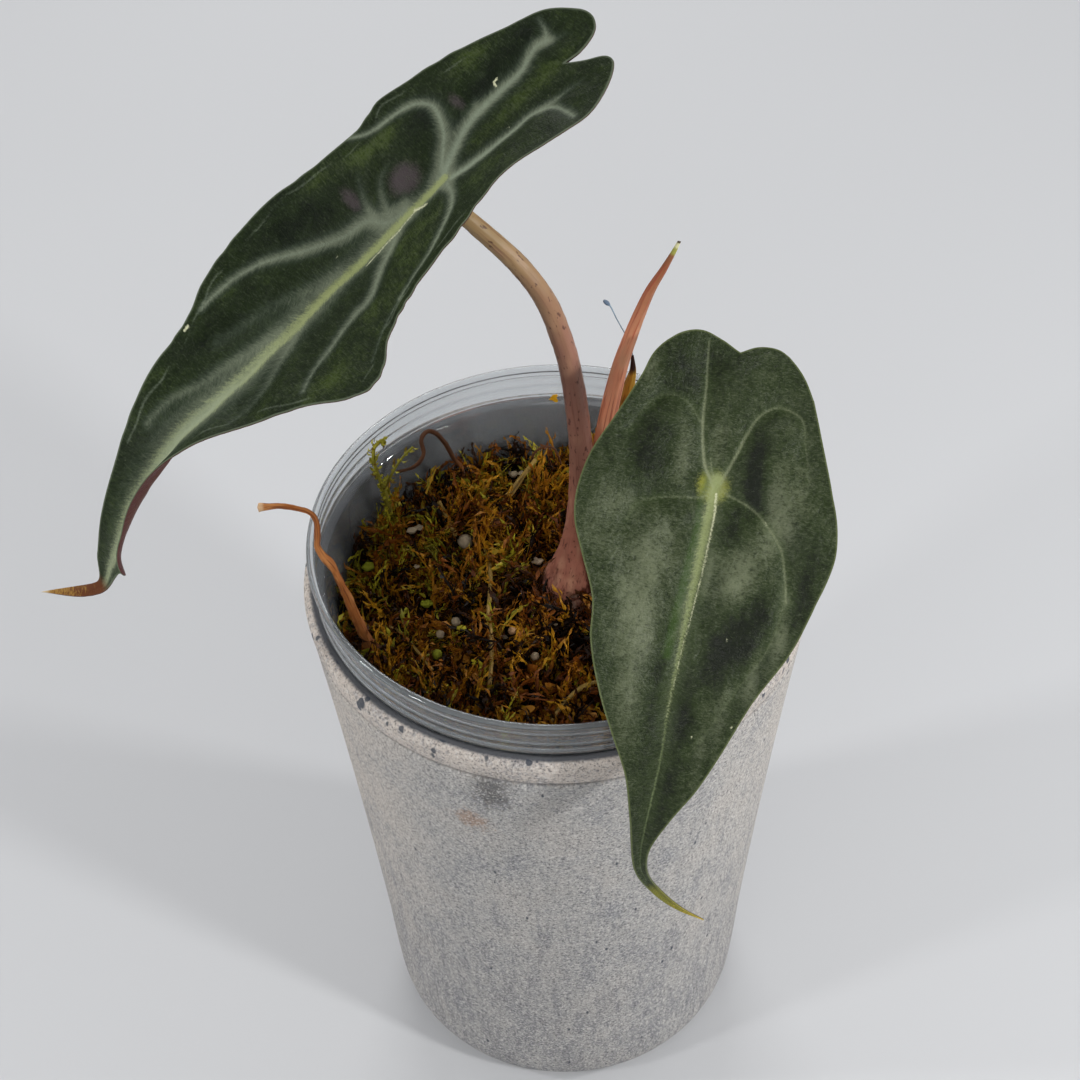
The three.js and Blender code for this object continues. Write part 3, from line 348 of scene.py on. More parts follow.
DRY_STALK = {
    "path": [(-42.8, -18.4, 140), (-43.8, -17, 145.7), (-46.9, -13, 153.7), (-48.7, -11.1, 158.7),
             (-50.5, -9.3, 163.3), (-52.1, -7.7, 166.8), (-53.8, -6.8, 169.1), (-55.3, -5, 171),
             (-55.2, -3.8, 172.2), (-55.2, -1.5, 173.8), (-55.6, -0.1, 175.3), (-56.5, 0.5, 176.4),
             (-58.2, 0.9, 177.2), (-63.2, 1.1, 178.5), (-68.3, 0.4, 178.9)],
    "stations": [0, 0.2, 0.4, 0.5, 0.555, 0.6, 0.66, 0.72, 0.8, 0.9, 0.96, 1],
    "radii": [1.25, 1.3, 1.15, 0.85, 1.2, 0.95, 0.75, 0.75, 0.75, 0.8, 0.95, 1.3],
    "flatness": 0.72,
}
ROOT_LOOP = {
    "path": [(-38.5, 33.1, 156.2), (-33.9, 32.8, 158.3), (-31.6, 34.3, 161), (-32, 36.6, 163.6),
             (-30.4, 38.6, 164.4), (-28.5, 39, 163.2), (-26.4, 40.1, 158.5), (-24.7, 41, 152.7),
             (-22.9, 41.5, 148.5), (-22.6, 41.6, 141)],
    "radii": [0.35, 0.5, 0.55, 0.6, 0.55, 0.6, 0.7],
}
CROWN = {"middle": (3.2, 7, 139.3), "size": (7.6, 7.6, 5.2)}
YELLOW_SCRAP = {"middle": (0.6, 54.75, 158.8), "size": (2.2, 0.55, 2.6)}
THIN_ROOT = {
    "path": [(-5.4, 43.4, 144), (-4.8, 44, 149.9), (-2.1, 44, 152.6), (0.4, 44, 151.8), (2.4, 44, 144.5),
             (3, 44, 138)],
    "radii": [0.3, 0.3, 0.25, 0.3],
}
STRAWS = [
    {"path": [(-17.2, 19.8, 143.5), (-16.1, 7.5, 144.6), (-16.5, -3.1, 144.2), (-16, -13.6, 144.4),
              (-16.3, -22.4, 143.8), (-17.7, -30.5, 142)], "radii": [0.5, 0.55, 0.5, 0.45]},
    {"path": [(-14.3, 32, 141), (-12.3, 34.2, 143.6), (-9.1, 37.2, 146.6), (-4.3, 41.7, 150.6)],
     "radii": [0.9, 0.85, 0.7, 0.5]},
    {"path": [(-28.5, 30.5, 148), (-27.5, 28.8, 147), (-24.5, 23.5, 143)], "radii": [0.5, 0.7, 0.7]},
    {"path": [(-44, -4, 142), (-38, -8, 144), (-30, -20, 143.4)], "radii": [0.35, 0.4, 0.35]},
    {"path": [(-4, -38, 141), (2, -30, 144), (9, -26, 144.5), (16, -27, 142)], "radii": [0.5, 0.55, 0.5]},
]
CRUMBS = [(-31.5, 3.5, 1.9, 0.95), (-45.8, 14.6, 1.9, 0.95), (-35.3, 25.1, 1.6, 0.1),
          (-33.6, 26.4, 1.3, 0.1), (-44.9, 31.2, 1.5, 0.35), (-12.8, -6.1, 0.8, 0.1),
          (-0.7, -4.9, 0.6, 0), (-4.5, 15.6, 1.7, 0.2), (-34, 13.8, 0.9, 0.3), (7.2, -22.9, 0.6, 0),
          (-10, 45, 1.4, 0.15), (-8, 45.5, 1.1, 0.2), (-19, -36, 0.7, 0.3), (22, -36, 0.9, 0.1),
          (30, 26, 1.2, 0.2), (38, -6, 1, 0.1)]
GREEN_CURL = {
    "path": [(-40.4, 27, 138), (-40.6, 27.8, 147), (-41.6, 27.8, 156), (-43, 26.8, 165), (-43, 27.4, 170),
             (-41.2, 29.2, 171), (-40.4, 30.2, 169.4)],
    "radii": [1.7, 1.5, 1.3, 1.1, 0.9, 0.9],
}
CURL_BRANCH = {"path": [(-41.8, 28.6, 154), (-38.4, 29, 161.7), (-36, 29, 165.8), (-33.7, 29, 168.7)],
               "radii": [0.45, 0.4, 0.3, 0.25]}
BEADS = [(-22.3, 23.5, 2.1, 0), (-24.5, -3.7, 1.3, 0.2), (-29, -13.3, 1.4, 0.9), (-28.3, -6.4, 1.2, 0.1),
         (-5.8, -14.2, 1.2, 0.3), (-11.1, -7.1, 1.1, 0.5)]

# Skins of stalks, sheaths, roots and threads: ground, roughness, width of a fibre, strength of the relief,
# and layers of colour as paint takes them, with their masks and patterns by name
SKINS = {
    "leaf_stalk_skin": ("#996a59", 0.42, 0.55, 0.4, [
        ("along", 0.5, 1.0, "#a38b5d", 0.95, ("clouds", 0.3)),
        ("along", 0.98, 1.14, "#bfae72", 0.9, ("clouds", 0.2)),
        ("along", 0.42, 0.15, "#97604f", 0.9, ("clouds", 0.25)),
        ("clouds", 0.5, 0.75, "#b98c70", 0.5),
        ("fibres", 0.55, 0.72, "#6e4038", 0.55),
        ("dashes", 0.4, 0.3, "#4a2622", 0.75)]),
    "bulb_skin": ("#9b6755", 0.5, 0.55, 0.4, [
        ("clouds", 0.42, 0.62, "#c0937c", 0.8),
        ("along", 0.82, 0.6, "#7a4636", 0.8, ("clouds", 0.8)),
        ("clouds", 0.58, 0.72, "#e0c6b4", 0.7),
        ("fibres", 0.55, 0.7, "#6e3f33", 0.5)]),
    "young_sheath_skin": ("#ee9c76", 0.45, 0.5, 0.6, [
        ("clouds", 0.4, 0.7, "#f6b78f", 0.7),
        ("along", 0.62, 0.95, "#84502f", 0.9, ("clouds", 0.3)),
        ("fibres", 0.5, 0.66, "#ad4f38", 0.75),
        ("along", 0.962, 0.972, "#a9ad52", 0.9),
        ("along", 0.98, 0.988, "#e6e2b4", 0.9),
        ("along", 0.994, 0.999, "#4a3a2a", 1.0)]),
    "papery_old_sheath": ("#d2a03a", 0.65, 0.5, 0.7, [
        ("clouds", 0.45, 0.7, "#8d5a22", 0.7),
        ("fibres", 0.52, 0.68, "#6f4416", 0.7),
        ("along", 0.92, 0.97, "#35180f", 1.0, ("clouds", 0.2))]),
    "dry_thread": ("#8fa6b8", 0.5, 0.55, 0.4, [
        ("along", 0.9, 0.94, "#66788f", 0.9),
        ("clouds", 0.45, 0.7, "#b7c3cb", 0.5)]),
    "withered_stalk_skin": ("#a4602a", 0.7, 0.45, 0.8, [
        ("clouds", 0.42, 0.68, "#c98a4e", 0.8),
        ("fibres", 0.5, 0.64, "#6b3413", 0.8),
        ("along", 0.3, 0.12, "#7c4a1c", 0.7, ("clouds", 0.2)),
        ("along", 0.975, 0.99, "#d9b48a", 0.9)]),
    "dry_root_bark": ("#4d2c14", 0.8, 0.55, 0.4, [
        ("clouds", 0.45, 0.7, "#8a5526", 0.8),
        ("fibres", 0.55, 0.7, "#2a1508", 0.6)]),
    "dead_moss_stem": ("#8f7434", 0.7, 0.55, 0.4, [
        ("clouds", 0.4, 0.65, "#b9975a", 0.8),
        ("fibres", 0.52, 0.68, "#4f3a12", 0.7)]),
    "green_moss_stem": ("#7f7a22", 0.85, 0.55, 0.4, [
        ("clouds", 0.45, 0.7, "#a8a032", 0.8),
        ("along", 0.5, 0.1, "#6a5416", 0.8)]),
}


def linear(shade):
    """Linear RGBA for an sRGB hex colour. A colour that is linear already passes through."""
    if not isinstance(shade, str):
        return tuple(shade)
    channels = [int(shade[i:i + 2], 16) / 255 for i in (1, 3, 5)]
    return (*[c / 12.92 if c <= 0.04045 else ((c + 0.055) / 1.055) ** 2.4 for c in channels], 1.0)


def colour_property(name, description, shade):
    return FloatVectorProperty(name=name, description=description, subtype="COLOR", size=4, min=0, max=1,
                               default=linear(shade))


class PlantSizes(bpy.types.PropertyGroup):
    blade_spacing: FloatProperty(name="Blade mesh spacing", description="Distance between blade vertices",
                                 default=0.45 * MM, min=0.3 * MM, unit="LENGTH")
    moss_sprigs: IntProperty(name="Moss sprigs", description="How many leafy sprigs cover the moss",
                             default=5400, min=200, max=8000)
    sprig_length: FloatProperty(name="Sprig length", description="Length of a large moss sprig",
                                default=12 * MM, unit="LENGTH")
    grit: FloatProperty(name="Stoneware grit", description="Width of a grain in the pot's clay",
                        default=0.6 * MM, unit="LENGTH")


class PlantColours(bpy.types.PropertyGroup):
    stoneware: colour_property("Stoneware", "Fired clay of the cover pot", "#b0aeab")
    plastic: colour_property("Cup plastic", "Clear plastic of the nursery cup", "#e4e8ea")
    # The dark leaf green is the colour of the blades' painted shade
    leaf_dark: colour_property("Dark leaf", "Deepest green of the left blade", BLADE_LOOKS["dark"][0])
    leaf_green: colour_property("Green leaf", "Middle green of the right blade", BLADE_LOOKS["middle"][1])
    halo: colour_property("Vein halo", "Silver-green that runs along the veins", BLADE_LOOKS["halo"][0])
    midrib: colour_property("Midrib", "Yellow-green of the midrib", BLADE_LOOKS["midrib"][0])
    petiole: colour_property("Petiole", "Mauve-brown of the leaf stalks", SKINS["leaf_stalk_skin"][0])
    sheath: colour_property("Sheath", "Salmon of the young leaf's sheath", SKINS["young_sheath_skin"][0])
    moss_ochre: colour_property("Moss ochre", "Most common moss colour", "#ad7c17")
    moss_olive: colour_property("Moss olive", "Green moss colour", "#77731a")


# Shader building
def add_node(tree, kind, settings=None, links=None):
    """Adds one node with its settings, and links the nodes or outputs that feed it."""
    node = tree.nodes.new(kind)
    for key, value in (settings or {}).items():
        if isinstance(key, str) and hasattr(node, key):
            setattr(node, key, value)
        else:
            node.inputs[key].default_value = value
    for key, source in (links or {}).items():
        tree.links.new(getattr(source, "outputs", [source])[0], node.inputs[key])
    return node


def new_material(name, surface):
    """Empty node material with a Principled shader, whose plain sockets are set from surface."""
    material = bpy.data.materials.new(name)
    material.use_nodes = True
    tree = material.node_tree
    tree.nodes.clear()
    shader = add_node(tree, "ShaderNodeBsdfPrincipled", surface)
    add_node(tree, "ShaderNodeOutputMaterial", None, {"Surface": shader})
    return material, tree, shader


def per_metre(size, stretch=(1, 1, 1)):
    """Scale of a pattern whose features are size millimetres wide, and longer along a stretched axis."""
    return [1 / (size * MM * longer) for longer in stretch]


def paint(tree, ground, layers):
    """Lays colours over a ground. A layer has a mask, the mask's values where the colour starts and is full,
    the colour, its greatest share, and then pairs of a pattern and the amount by which it breaks the mask
    up."""
    colour = None
    for mask, low, high, shade, greatest, *broken_by in layers:
        for pattern, amount in broken_by:
            mask = add_node(tree, "ShaderNodeMath", {"operation": "MULTIPLY_ADD", 1: amount},
                            {0: pattern, 2: mask})
        shift = sum(amount for _, amount in broken_by) / 2
        share = add_node(tree, "ShaderNodeMapRange", {
            "interpolation_type": "SMOOTHSTEP", "From Min": low + shift, "From Max": high + shift,
            "To Max": greatest}, {"Value": mask})
        mix = add_node(tree, "ShaderNodeMix", {"data_type": "RGBA", 6: linear(ground), 7: linear(shade)},
                       {0: share})
        if colour:
            tree.links.new(colour, mix.inputs[6])
        colour = mix.outputs[2]
    return colour


def stoneware_material(colours, grit):
    """Stoneware, thrown and fired without a glaze: a matt light grey body with a sandy grain, paler and
    beige at the lip, upright runs of darker slip, and blue-black iron flecks that gather at the rim. Painted
    light and shade: paler sides where the side lamps light it, a painted shadow of the right leaf, and
    painted shade in the ring's groove and on the rim under the cup's ledge."""
    material, tree, shader = new_material("unglazed_stoneware", {"Roughness": 0.88, "IOR": 1.5,
                                                                 "Specular IOR Level": 0.3})
    place = add_node(tree, "ShaderNodeTexCoord").outputs["Object"]
    parts = add_node(tree, "ShaderNodeSeparateXYZ", None, {0: place})
    sideways, height = parts.outputs[0], parts.outputs[2]
    inner, groove, painted_ledge_shade, painted_leaf_shadow, rust = (
        add_node(tree, "ShaderNodeAttribute", {"attribute_name": key}).outputs["Fac"]
        for key in ("inner", "groove", "painted_ledge_shade", "painted_leaf_shadow", "rust"))
    lowness = add_node(tree, "ShaderNodeMapRange", {"From Min": POT_HEIGHT * MM, "From Max": 0},
                       {0: height})
    grain = grit / MM
    patterns = []
    for size, upright, detail, roughness in ((grain, 1, 2.5, 0.75), (grain / 0.45, 1, 2.0, 0.6),
                                             (15, 1, 3.0, 0.5), (2.6, 9, 3.0, 0.6), (1.3, 6, 2.0, 0.6)):
        drawn = add_node(tree, "ShaderNodeMapping", {"Scale": per_metre(size, (1, 1, upright))},
                         {"Vector": place})
        patterns.append(add_node(tree, "ShaderNodeTexNoise", {"Scale": 1.0, "Detail": detail,
                                                              "Roughness": roughness}, {"Vector": drawn}))
    grains, sand, patches, runs, drips = patterns
    dashes = add_node(tree, "ShaderNodeMapping", {"Scale": per_metre(2.4, (1, 1, 2.2))}, {"Vector": place})
    cells = add_node(tree, "ShaderNodeTexVoronoi", {"Scale": 1.0}, {"Vector": dashes})
    pick = add_node(tree, "ShaderNodeSeparateColor", None, {0: cells.outputs["Color"]})
    at_rim = add_node(tree, "ShaderNodeMapRange", {"From Min": (POT_HEIGHT - 6) * MM, "To Max": 0.40,
                                                   "From Max": (POT_HEIGHT - 2) * MM}, {0: height})
    rare = add_node(tree, "ShaderNodeMath", {"operation": "ADD"}, {0: at_rim, 1: pick.outputs[0]})
    fleck = add_node(tree, "ShaderNodeMath", {"operation": "MULTIPLY_ADD", 1: -1.2},
                     {0: cells.outputs["Distance"], 2: rare})
    below, above = (POT_HEIGHT - RING_DROP - 0.5) * MM, (POT_HEIGHT - RING_DROP + 0.5) * MM
    colour = paint(tree, tuple(colours.stoneware), [
        (patches, 0.45, 0.7, "#bab3ac", 0.4),
        (patches, 0.42, 0.3, "#97999c", 0.5),
        # Painted light: both sides of the pot are paler, where the side lamps light them
        (sideways, -0.025, -0.060, "#cdc0b2", 0.6),
        (sideways, 0.025, 0.060, "#c9bfb4", 0.5),
        (height, 0.10, 0.04, "#a3a19f", 0.45, (patches, 0.02)),
        (height, below, above, "#d0c4b9", 0.8, (sand, 0.004)),
        (runs, 0.5, 0.7, "#87878a", 0.55, (lowness, 0.25)),
        (drips, 0.56, 0.68, "#76767a", 0.4, (lowness, 0.15)),
        (sand, 0.5, 0.75, "#d8d4ce", 0.35),
        (sand, 0.5, 0.34, "#8a8a8e", 0.5, (patches, 0.6)),
        # Painted shadow of the right leaf on the pot's face
        (painted_leaf_shadow, 0.1, 0.9, "#5a5856", 0.85, (sand, 1.6)),
        (rust, 0.15, 0.8, "#a48670", 0.7, (sand, 1.2)),
        (grains, 0.52, 0.66, "#e2dfda", 0.65),
        (grains, 0.48, 0.34, "#5c5c5f", 0.75),
        (fleck, 0.74, 0.86, "#333d4b", 0.85),
        (inner, 0.4, 0.6, "#d6cec2", 0.85),
        # Painted shade in the ring's groove
        (groove, 0.2, 0.9, "#6d6a68", 0.6, (sand, 0.5)),
        # Painted shade on the rim under the cup's ledge, seen through the clear plastic as a dark band
        (painted_ledge_shade, 0.2, 0.7, "#3d434d", 0.9, (sand, 0.4)),
    ])
    tree.links.new(colour, shader.inputs["Base Color"])
    bump = add_node(tree, "ShaderNodeBump", {"Strength": 0.55, "Distance": 0.3 * MM}, {"Height": grains})
    tree.links.new(bump.outputs[0], shader.inputs["Normal"])
    return material


def cup_material(colours):
    """Clear polypropylene, thermoformed: see-through with bright hard highlights on its ribs, a trace of
    milk, and fine scuffs that blur what stands behind."""
    material, tree, shader = new_material("clear_polypropylene", {
        "Base Color": tuple(colours.plastic), "Transmission Weight": 0.9, "IOR": 1.46, "Roughness": 0.04,
        "Specular IOR Level": 0.6})
    place = add_node(tree, "ShaderNodeTexCoord").outputs["Object"]
    scuffs = add_node(tree, "ShaderNodeTexNoise", {"Scale": per_metre(5)[0], "Detail": 4.0},
                      {"Vector": place})
    gloss = add_node(tree, "ShaderNodeMapRange", {"From Min": 0.4, "From Max": 0.7, "To Min": 0.01,
                                                  "To Max": 0.09}, {0: scuffs})
    tree.links.new(gloss.outputs[0], shader.inputs["Roughness"])
    bump = add_node(tree, "ShaderNodeBump", {"Strength": 0.08, "Distance": 0.05 * MM}, {"Height": scuffs})
    tree.links.new(bump.outputs[0], shader.inputs["Normal"])
    return material


def leaf_material(name, look):
    """Living aroid leaf, grown: a waxy skin of fine fibres, dark between the veins, silvered in feathered
    halos along them, with a pale thread at the margin and a wine-brown underside."""
    material, tree, shader = new_material(name, {"IOR": 1.45, "Specular IOR Level": look["specular"]})
    glow, rib, midrib, cream, green, sheen_and_junction_tint, painted_shade_and_sheen, edge, under, tail, pale = (
        add_node(tree, "ShaderNodeAttribute", {"attribute_name": key}).outputs["Fac"]
        for key in ("glow", "rib", "midrib", "cream", "green", "sheen_and_junction_tint", "painted_shade_and_sheen", "edge", "under", "tail",
                    "pale"))
    flat, combed = (add_node(tree, "ShaderNodeAttribute", {"attribute_name": key}).outputs["Vector"]
                    for key in ("flat", "combed"))
    # Fibres are drawn about twice as wide as real ones, so that they show from where the camera stands.
    # The last pattern is of hairs that leave the veins at a slant: fine along the vein, long away from it.
    patterns = []
    for source, size, longer, askew, detail, roughness, distortion in (
            (flat, 0.32, look["stretch"], look["askew"], 2.5, 0.6, 0.8),
            (flat, 0.34, look["stretch"], look["askew"] - 50, 2.0, 0.5, 0.8),
            (flat, 0.5, 1, 0, 2.0, 0.7, 0),
            (flat, 5.5, 1, 0, 4.0, 0.62, 0),
            (flat, 1.2, 1, 0, 3.0, 0.7, 0.6),
            (combed, 0.4, 1, 0, 3.0, 0.7, 0)):
        drawn = add_node(tree, "ShaderNodeMapping", {"Scale": per_metre(size, (1, longer, 1)),
                                                     "Rotation": (0, 0, math.radians(askew))},
                         {"Vector": source})
        patterns.append(add_node(tree, "ShaderNodeTexNoise", {
            "Scale": 1.0, "Detail": detail, "Roughness": roughness, "Distortion": distortion},
            {"Vector": drawn}))
    fibres, cross_fibres, cells, cloud, hide, hairs = patterns
    mat = add_node(tree, "ShaderNodeMath", {"operation": "MAXIMUM"}, {0: fibres, 1: cross_fibres})
    rough = [(cloud, look["cloud"]), (hide, look["hide"]), (mat, look["fibre"]), (cells, look["cells"])]
    feather = [(hairs, look["hairs"]), (mat, 0.3), (cloud, 0.35)]
    fibre_sheen_low, fibre_sheen_high, fibre_sheen_share = look["fibre_sheen"]
    colour = paint(tree, look["middle"], [
        # Painted sheen and painted shade in broad areas, where light would fall on the puckers and where
        # they would be shaded
        (painted_shade_and_sheen, 0.46, 1.25, look["bright"], 1.0, *rough),
        (painted_shade_and_sheen, 0.56, -0.02, look["dark"], 0.95, *rough),
        # Painted shade: the hollows of the bumped grain are darkened
        (hide, 0.52, 0.26, look["dark"], look["relief"], (mat, 0.6)),
        # Painted purple-grey sheen on the left blade; on the right blade this layer gives the stalk junction
        # its yellow-green
        (sheen_and_junction_tint, 0.25, 0.9, look["sheen_and_junction_tint"], look["sheen_and_junction_share"], (mat, 0.5), (cells, 0.6)),
        (green, 0.15, 0.9, look["leaf_green"], 0.85, (cells, 0.5)),
        # Pale fibres: the skin's own fibres with painted sheen, strongest in the painted sheen areas
        (mat, fibre_sheen_low, fibre_sheen_high, look["fibre_sheen_colour"], fibre_sheen_share, (hide, 0.4), (painted_shade_and_sheen, 0.25)),
        (glow, -0.05, 0.55, look["haze"], look["haze_share"], *feather),
        (glow, 0.3, 1.1, look["halo"], look["halo_share"], *feather),
        (rib, 0.1, 1.0, look["rib"], look["rib_share"], (cells, 0.5), (hairs, 0.3)),
        (midrib, 0.15, 0.95, look["midrib"], 0.9, (cells, 0.8), (hairs, 1.0)),
        (pale, 0.1, 0.9, look["far_rib"], 0.85, (cells, 0.4)),
        (cream, 0.35, 0.95, "#e3e4bd", 0.85, (cells, 1.2)),
        (edge, 0.5, 0.15, look["margin"], 0.7),
        (tail, 0.02, 0.25, look["tail"], 1.0),
        (tail, 0.5, 0.85, look["tail_line"], 0.75, (fibres, 1.6)),
        (tail, 0.86, 0.96, look["point"], 1.0, (cloud, 0.3)),
        (under, 0.3, 0.7, look["under"], look["under_share"]),
    ])
    tree.links.new(colour, shader.inputs["Base Color"])
    glossy, matt = look["gloss"]
    shine = add_node(tree, "ShaderNodeMapRange", {"From Min": 0.3, "From Max": 0.7, "To Min": glossy,
                                                  "To Max": matt}, {0: mat})
    tree.links.new(shine.outputs[0], shader.inputs["Roughness"])
    grain = add_node(tree, "ShaderNodeMath", {"operation": "MULTIPLY_ADD", 1: 0.8}, {0: mat, 2: cells})
    relief = add_node(tree, "ShaderNodeMath", {"operation": "MULTIPLY_ADD", 1: 2.0}, {0: hide, 2: grain})
    bump = add_node(tree, "ShaderNodeBump", {"Strength": look["bump"], "Distance": 0.2 * MM},
                    {"Height": relief})
    tree.links.new(bump.outputs[0], shader.inputs["Normal"])
    return material


def fibre_material(name, chosen=None):
    """Skin of a living or withered stalk or sheath: fine lengthwise fibres, and colours that change from
    its foot to its end. A chosen ground takes the place of its own."""
    ground, roughness, fibre, bump, layers = SKINS[name]
    material, tree, shader = new_material(name, {"Roughness": roughness, "IOR": 1.45,
                                                 "Specular IOR Level": 0.4})
    straight = add_node(tree, "ShaderNodeAttribute", {"attribute_name": "straight"}).outputs["Vector"]
    drawn = {"along": add_node(tree, "ShaderNodeAttribute", {"attribute_name": "along"}).outputs["Fac"]}
    for key, size, longer, detail in (("fibres", fibre, 24, 3), ("dashes", 0.8, 2.4, 2),
                                      ("clouds", 3.2, 3, 3)):
        stretched = add_node(tree, "ShaderNodeMapping", {"Scale": per_metre(size, (1, 1, longer))},
                             {"Vector": straight})
        drawn[key] = add_node(tree, "ShaderNodeTexNoise", {"Scale": 1.0, "Detail": detail}, {0: stretched})
    colour = paint(tree, chosen or ground, [
        (drawn[mask], low, high, shade, share, *((drawn[key], amount) for key, amount in broken_by))
        for mask, low, high, shade, share, *broken_by in layers])
    tree.links.new(colour, shader.inputs["Base Color"])
    relief = add_node(tree, "ShaderNodeBump", {"Strength": bump, "Distance": 0.18 * MM},
                      {"Height": drawn["fibres"]})
    tree.links.new(relief.outputs[0], shader.inputs["Normal"])
    return material


def moss_material(name, shades, roughness=0.55):
    """Moist moss leaves: thin and slightly shining, each sprig with its own shade from near black to straw.
    The near-black end is painted shade, for the bed and for the sprigs that sit low."""
    material, tree, shader = new_material(name, {"Roughness": roughness, "IOR": 1.4,
                                                 "Specular IOR Level": 0.3})
    tint = add_node(tree, "ShaderNodeAttribute", {"attribute_name": "tint"}).outputs["Fac"]
    place = add_node(tree, "ShaderNodeTexCoord").outputs["Object"]
    mottle = add_node(tree, "ShaderNodeTexNoise", {"Scale": per_metre(1.1)[0], "Detail": 3.0},
                      {"Vector": place})
    layers = [(tint, low, low + 0.14, shade, 1.0, (mottle, 0.35)) for low, shade in shades[1:]]
    tree.links.new(paint(tree, shades[0], layers), shader.inputs["Base Color"])
    bump = add_node(tree, "ShaderNodeBump", {"Strength": 0.5, "Distance": 0.3 * MM}, {"Height": mottle})
    tree.links.new(bump.outputs[0], shader.inputs["Normal"])
    return material


def corm_material():
    """Corm skin: matt brown, mottled by its old leaf scars."""
    material, tree, shader = new_material("corm_skin", {"Roughness": 0.8})
    place = add_node(tree, "ShaderNodeTexCoord").outputs["Object"]
    lengthwise = add_node(tree, "ShaderNodeMapping", {"Scale": per_metre(2, (1, 1, 2.5))},
                          {"Vector": place})
    mottle = add_node(tree, "ShaderNodeTexNoise", {"Scale": 1.0, "Detail": 3.0}, {"Vector": lengthwise})
    colour = paint(tree, "#8a5a48", [(mottle, 0.45, 0.7, "#4f2e20", 0.8)])
    tree.links.new(colour, shader.inputs["Base Color"])
    bump = add_node(tree, "ShaderNodeBump", {"Strength": 0.5, "Distance": 0.4 * MM}, {"Height": mottle})
    tree.links.new(bump.outputs[0], shader.inputs["Normal"])
    return material


def floor_material():
    """Paper sweep: matt, even and pale grey, with a tooth too fine to see."""
    material, tree, shader = new_material("paper_sweep", {"Roughness": 0.9, "Specular IOR Level": 0.1})
    place = add_node(tree, "ShaderNodeTexCoord").outputs["Object"]
    tooth = add_node(tree, "ShaderNodeTexNoise", {"Scale": per_metre(400)[0]}, {"Vector": place})
    colour = paint(tree, "#d4d5d7", [(tooth, 0.35, 0.7, "#d0d1d3", 0.5)])
    tree.links.new(colour, shader.inputs["Base Color"])
    return material


# Mesh building
def deselect():
    for piece in bpy.context.selected_objects:
        piece.select_set(False)


def activate(piece):
    deselect()
    piece.select_set(True)
    bpy.context.view_layer.objects.active = piece


def new_piece(name, points, faces, edges=()):
    """Object at the origin from points in millimetres."""
    mesh = bpy.data.meshes.new(name)
    mesh.from_pydata((np.asarray(points, float) * MM).tolist(), list(edges), faces)
    piece = bpy.data.objects.new(name, mesh)
    bpy.context.scene.collection.objects.link(piece)
    return piece


def carry(piece, name, values):
    """Stores a value, or a vector, at each point of the piece's mesh for its material."""
    values = np.asarray(values, np.float32)
    kind, field = ("FLOAT", "value") if values.ndim == 1 else ("FLOAT_VECTOR", "vector")
    piece.data.attributes.new(name, kind, "POINT").data.foreach_set(field, values.ravel())


def turn_faces_out(piece):
    activate(piece)
    bpy.ops.object.mode_set(mode="EDIT")
    bpy.ops.mesh.select_all(action="SELECT")
    bpy.ops.mesh.normals_make_consistent(inside=False)
    bpy.ops.object.mode_set(mode="OBJECT")


def finish_piece(piece, material, slot, *nodes, angle=60):
    """Gives a piece its material, its smooth shading and its body, and hides the nodes it stands for. The
    slot is not used.
    """
    piece.data.materials.clear()
    piece.data.materials.append(material)
    activate(piece)
    bpy.ops.object.shade_smooth_by_angle(angle=math.radians(angle))
    deselect()
    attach(piece, BODY)
    if nodes:
        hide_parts(*nodes)
    return piece


def through(knots, rows, x):
    """Values of a smooth curve through rows at knots. Beyond both ends it runs on straight."""
    knots = np.asarray(knots, float)
    rows = np.asarray(rows, float)
    last = len(knots) - 1
    before = np.maximum(np.arange(last + 1) - 1, 0)
    after = np.minimum(np.arange(last + 1) + 1, last)
    slopes = (rows[after] - rows[before]) / (knots[after] - knots[before])[:, None]
    x = np.atleast_1d(np.asarray(x, float))
    k = np.clip(np.searchsorted(knots, x, side="left") - 1, 0, last - 1)
    span = (knots[k + 1] - knots[k])[:, None]
    raw = (x - knots[k])[:, None] / span
    t = np.clip(raw, 0, 1)
    rate = ((6 * t * t - 6 * t) / span * (rows[k] - rows[k + 1]) + (3 * t * t - 4 * t + 1) * slopes[k]
            + (3 * t * t - 2 * t) * slopes[k + 1])
    value = ((2 * t ** 3 - 3 * t * t + 1) * rows[k] + (t ** 3 - 2 * t * t + t) * span * slopes[k]
             + (3 * t * t - 2 * t ** 3) * rows[k + 1] + (t ** 3 - t * t) * span * slopes[k + 1])
    return value + rate * (raw - t) * span, rate


def reaches(points):
    """Distance along a line of points to each of them."""
    steps = np.linalg.norm(np.diff(np.asarray(points, float), axis=0), axis=1)
    return np.concatenate([[0], np.cumsum(steps)])


def even_path(points, spacing):
    """Points and directions at even steps along a smooth curve through points."""
    reach = reaches(points)
    count = max(int(math.ceil(reach[-1] / spacing)), 2)
    places, rates = through(reach, points, np.linspace(0, reach[-1], count + 1))
    return places, rates / np.linalg.norm(rates, axis=1, keepdims=True)


def spun(name, profile, steps=ROUND_STEPS):
    """Closed round piece: the profile (radius, height) is spun round the Z axis and its doubles merged."""
    points = [(r, 0, z) for r, z in profile]
    piece = new_piece(name, points, [], [(i, i + 1) for i in range(len(points) - 1)])
    activate(piece)
    bpy.ops.object.mode_set(mode="EDIT")
    bpy.ops.mesh.select_all(action="SELECT")
    bpy.ops.mesh.spin(steps=steps, angle=2 * math.pi, center=(0, 0, 0), axis=(0, 0, 1))
    bpy.ops.mesh.select_all(action="SELECT")
    bpy.ops.mesh.remove_doubles(threshold=0.002 * MM)
    bpy.ops.mesh.normals_make_consistent(inside=False)
    bpy.ops.object.mode_set(mode="OBJECT")
    return piece


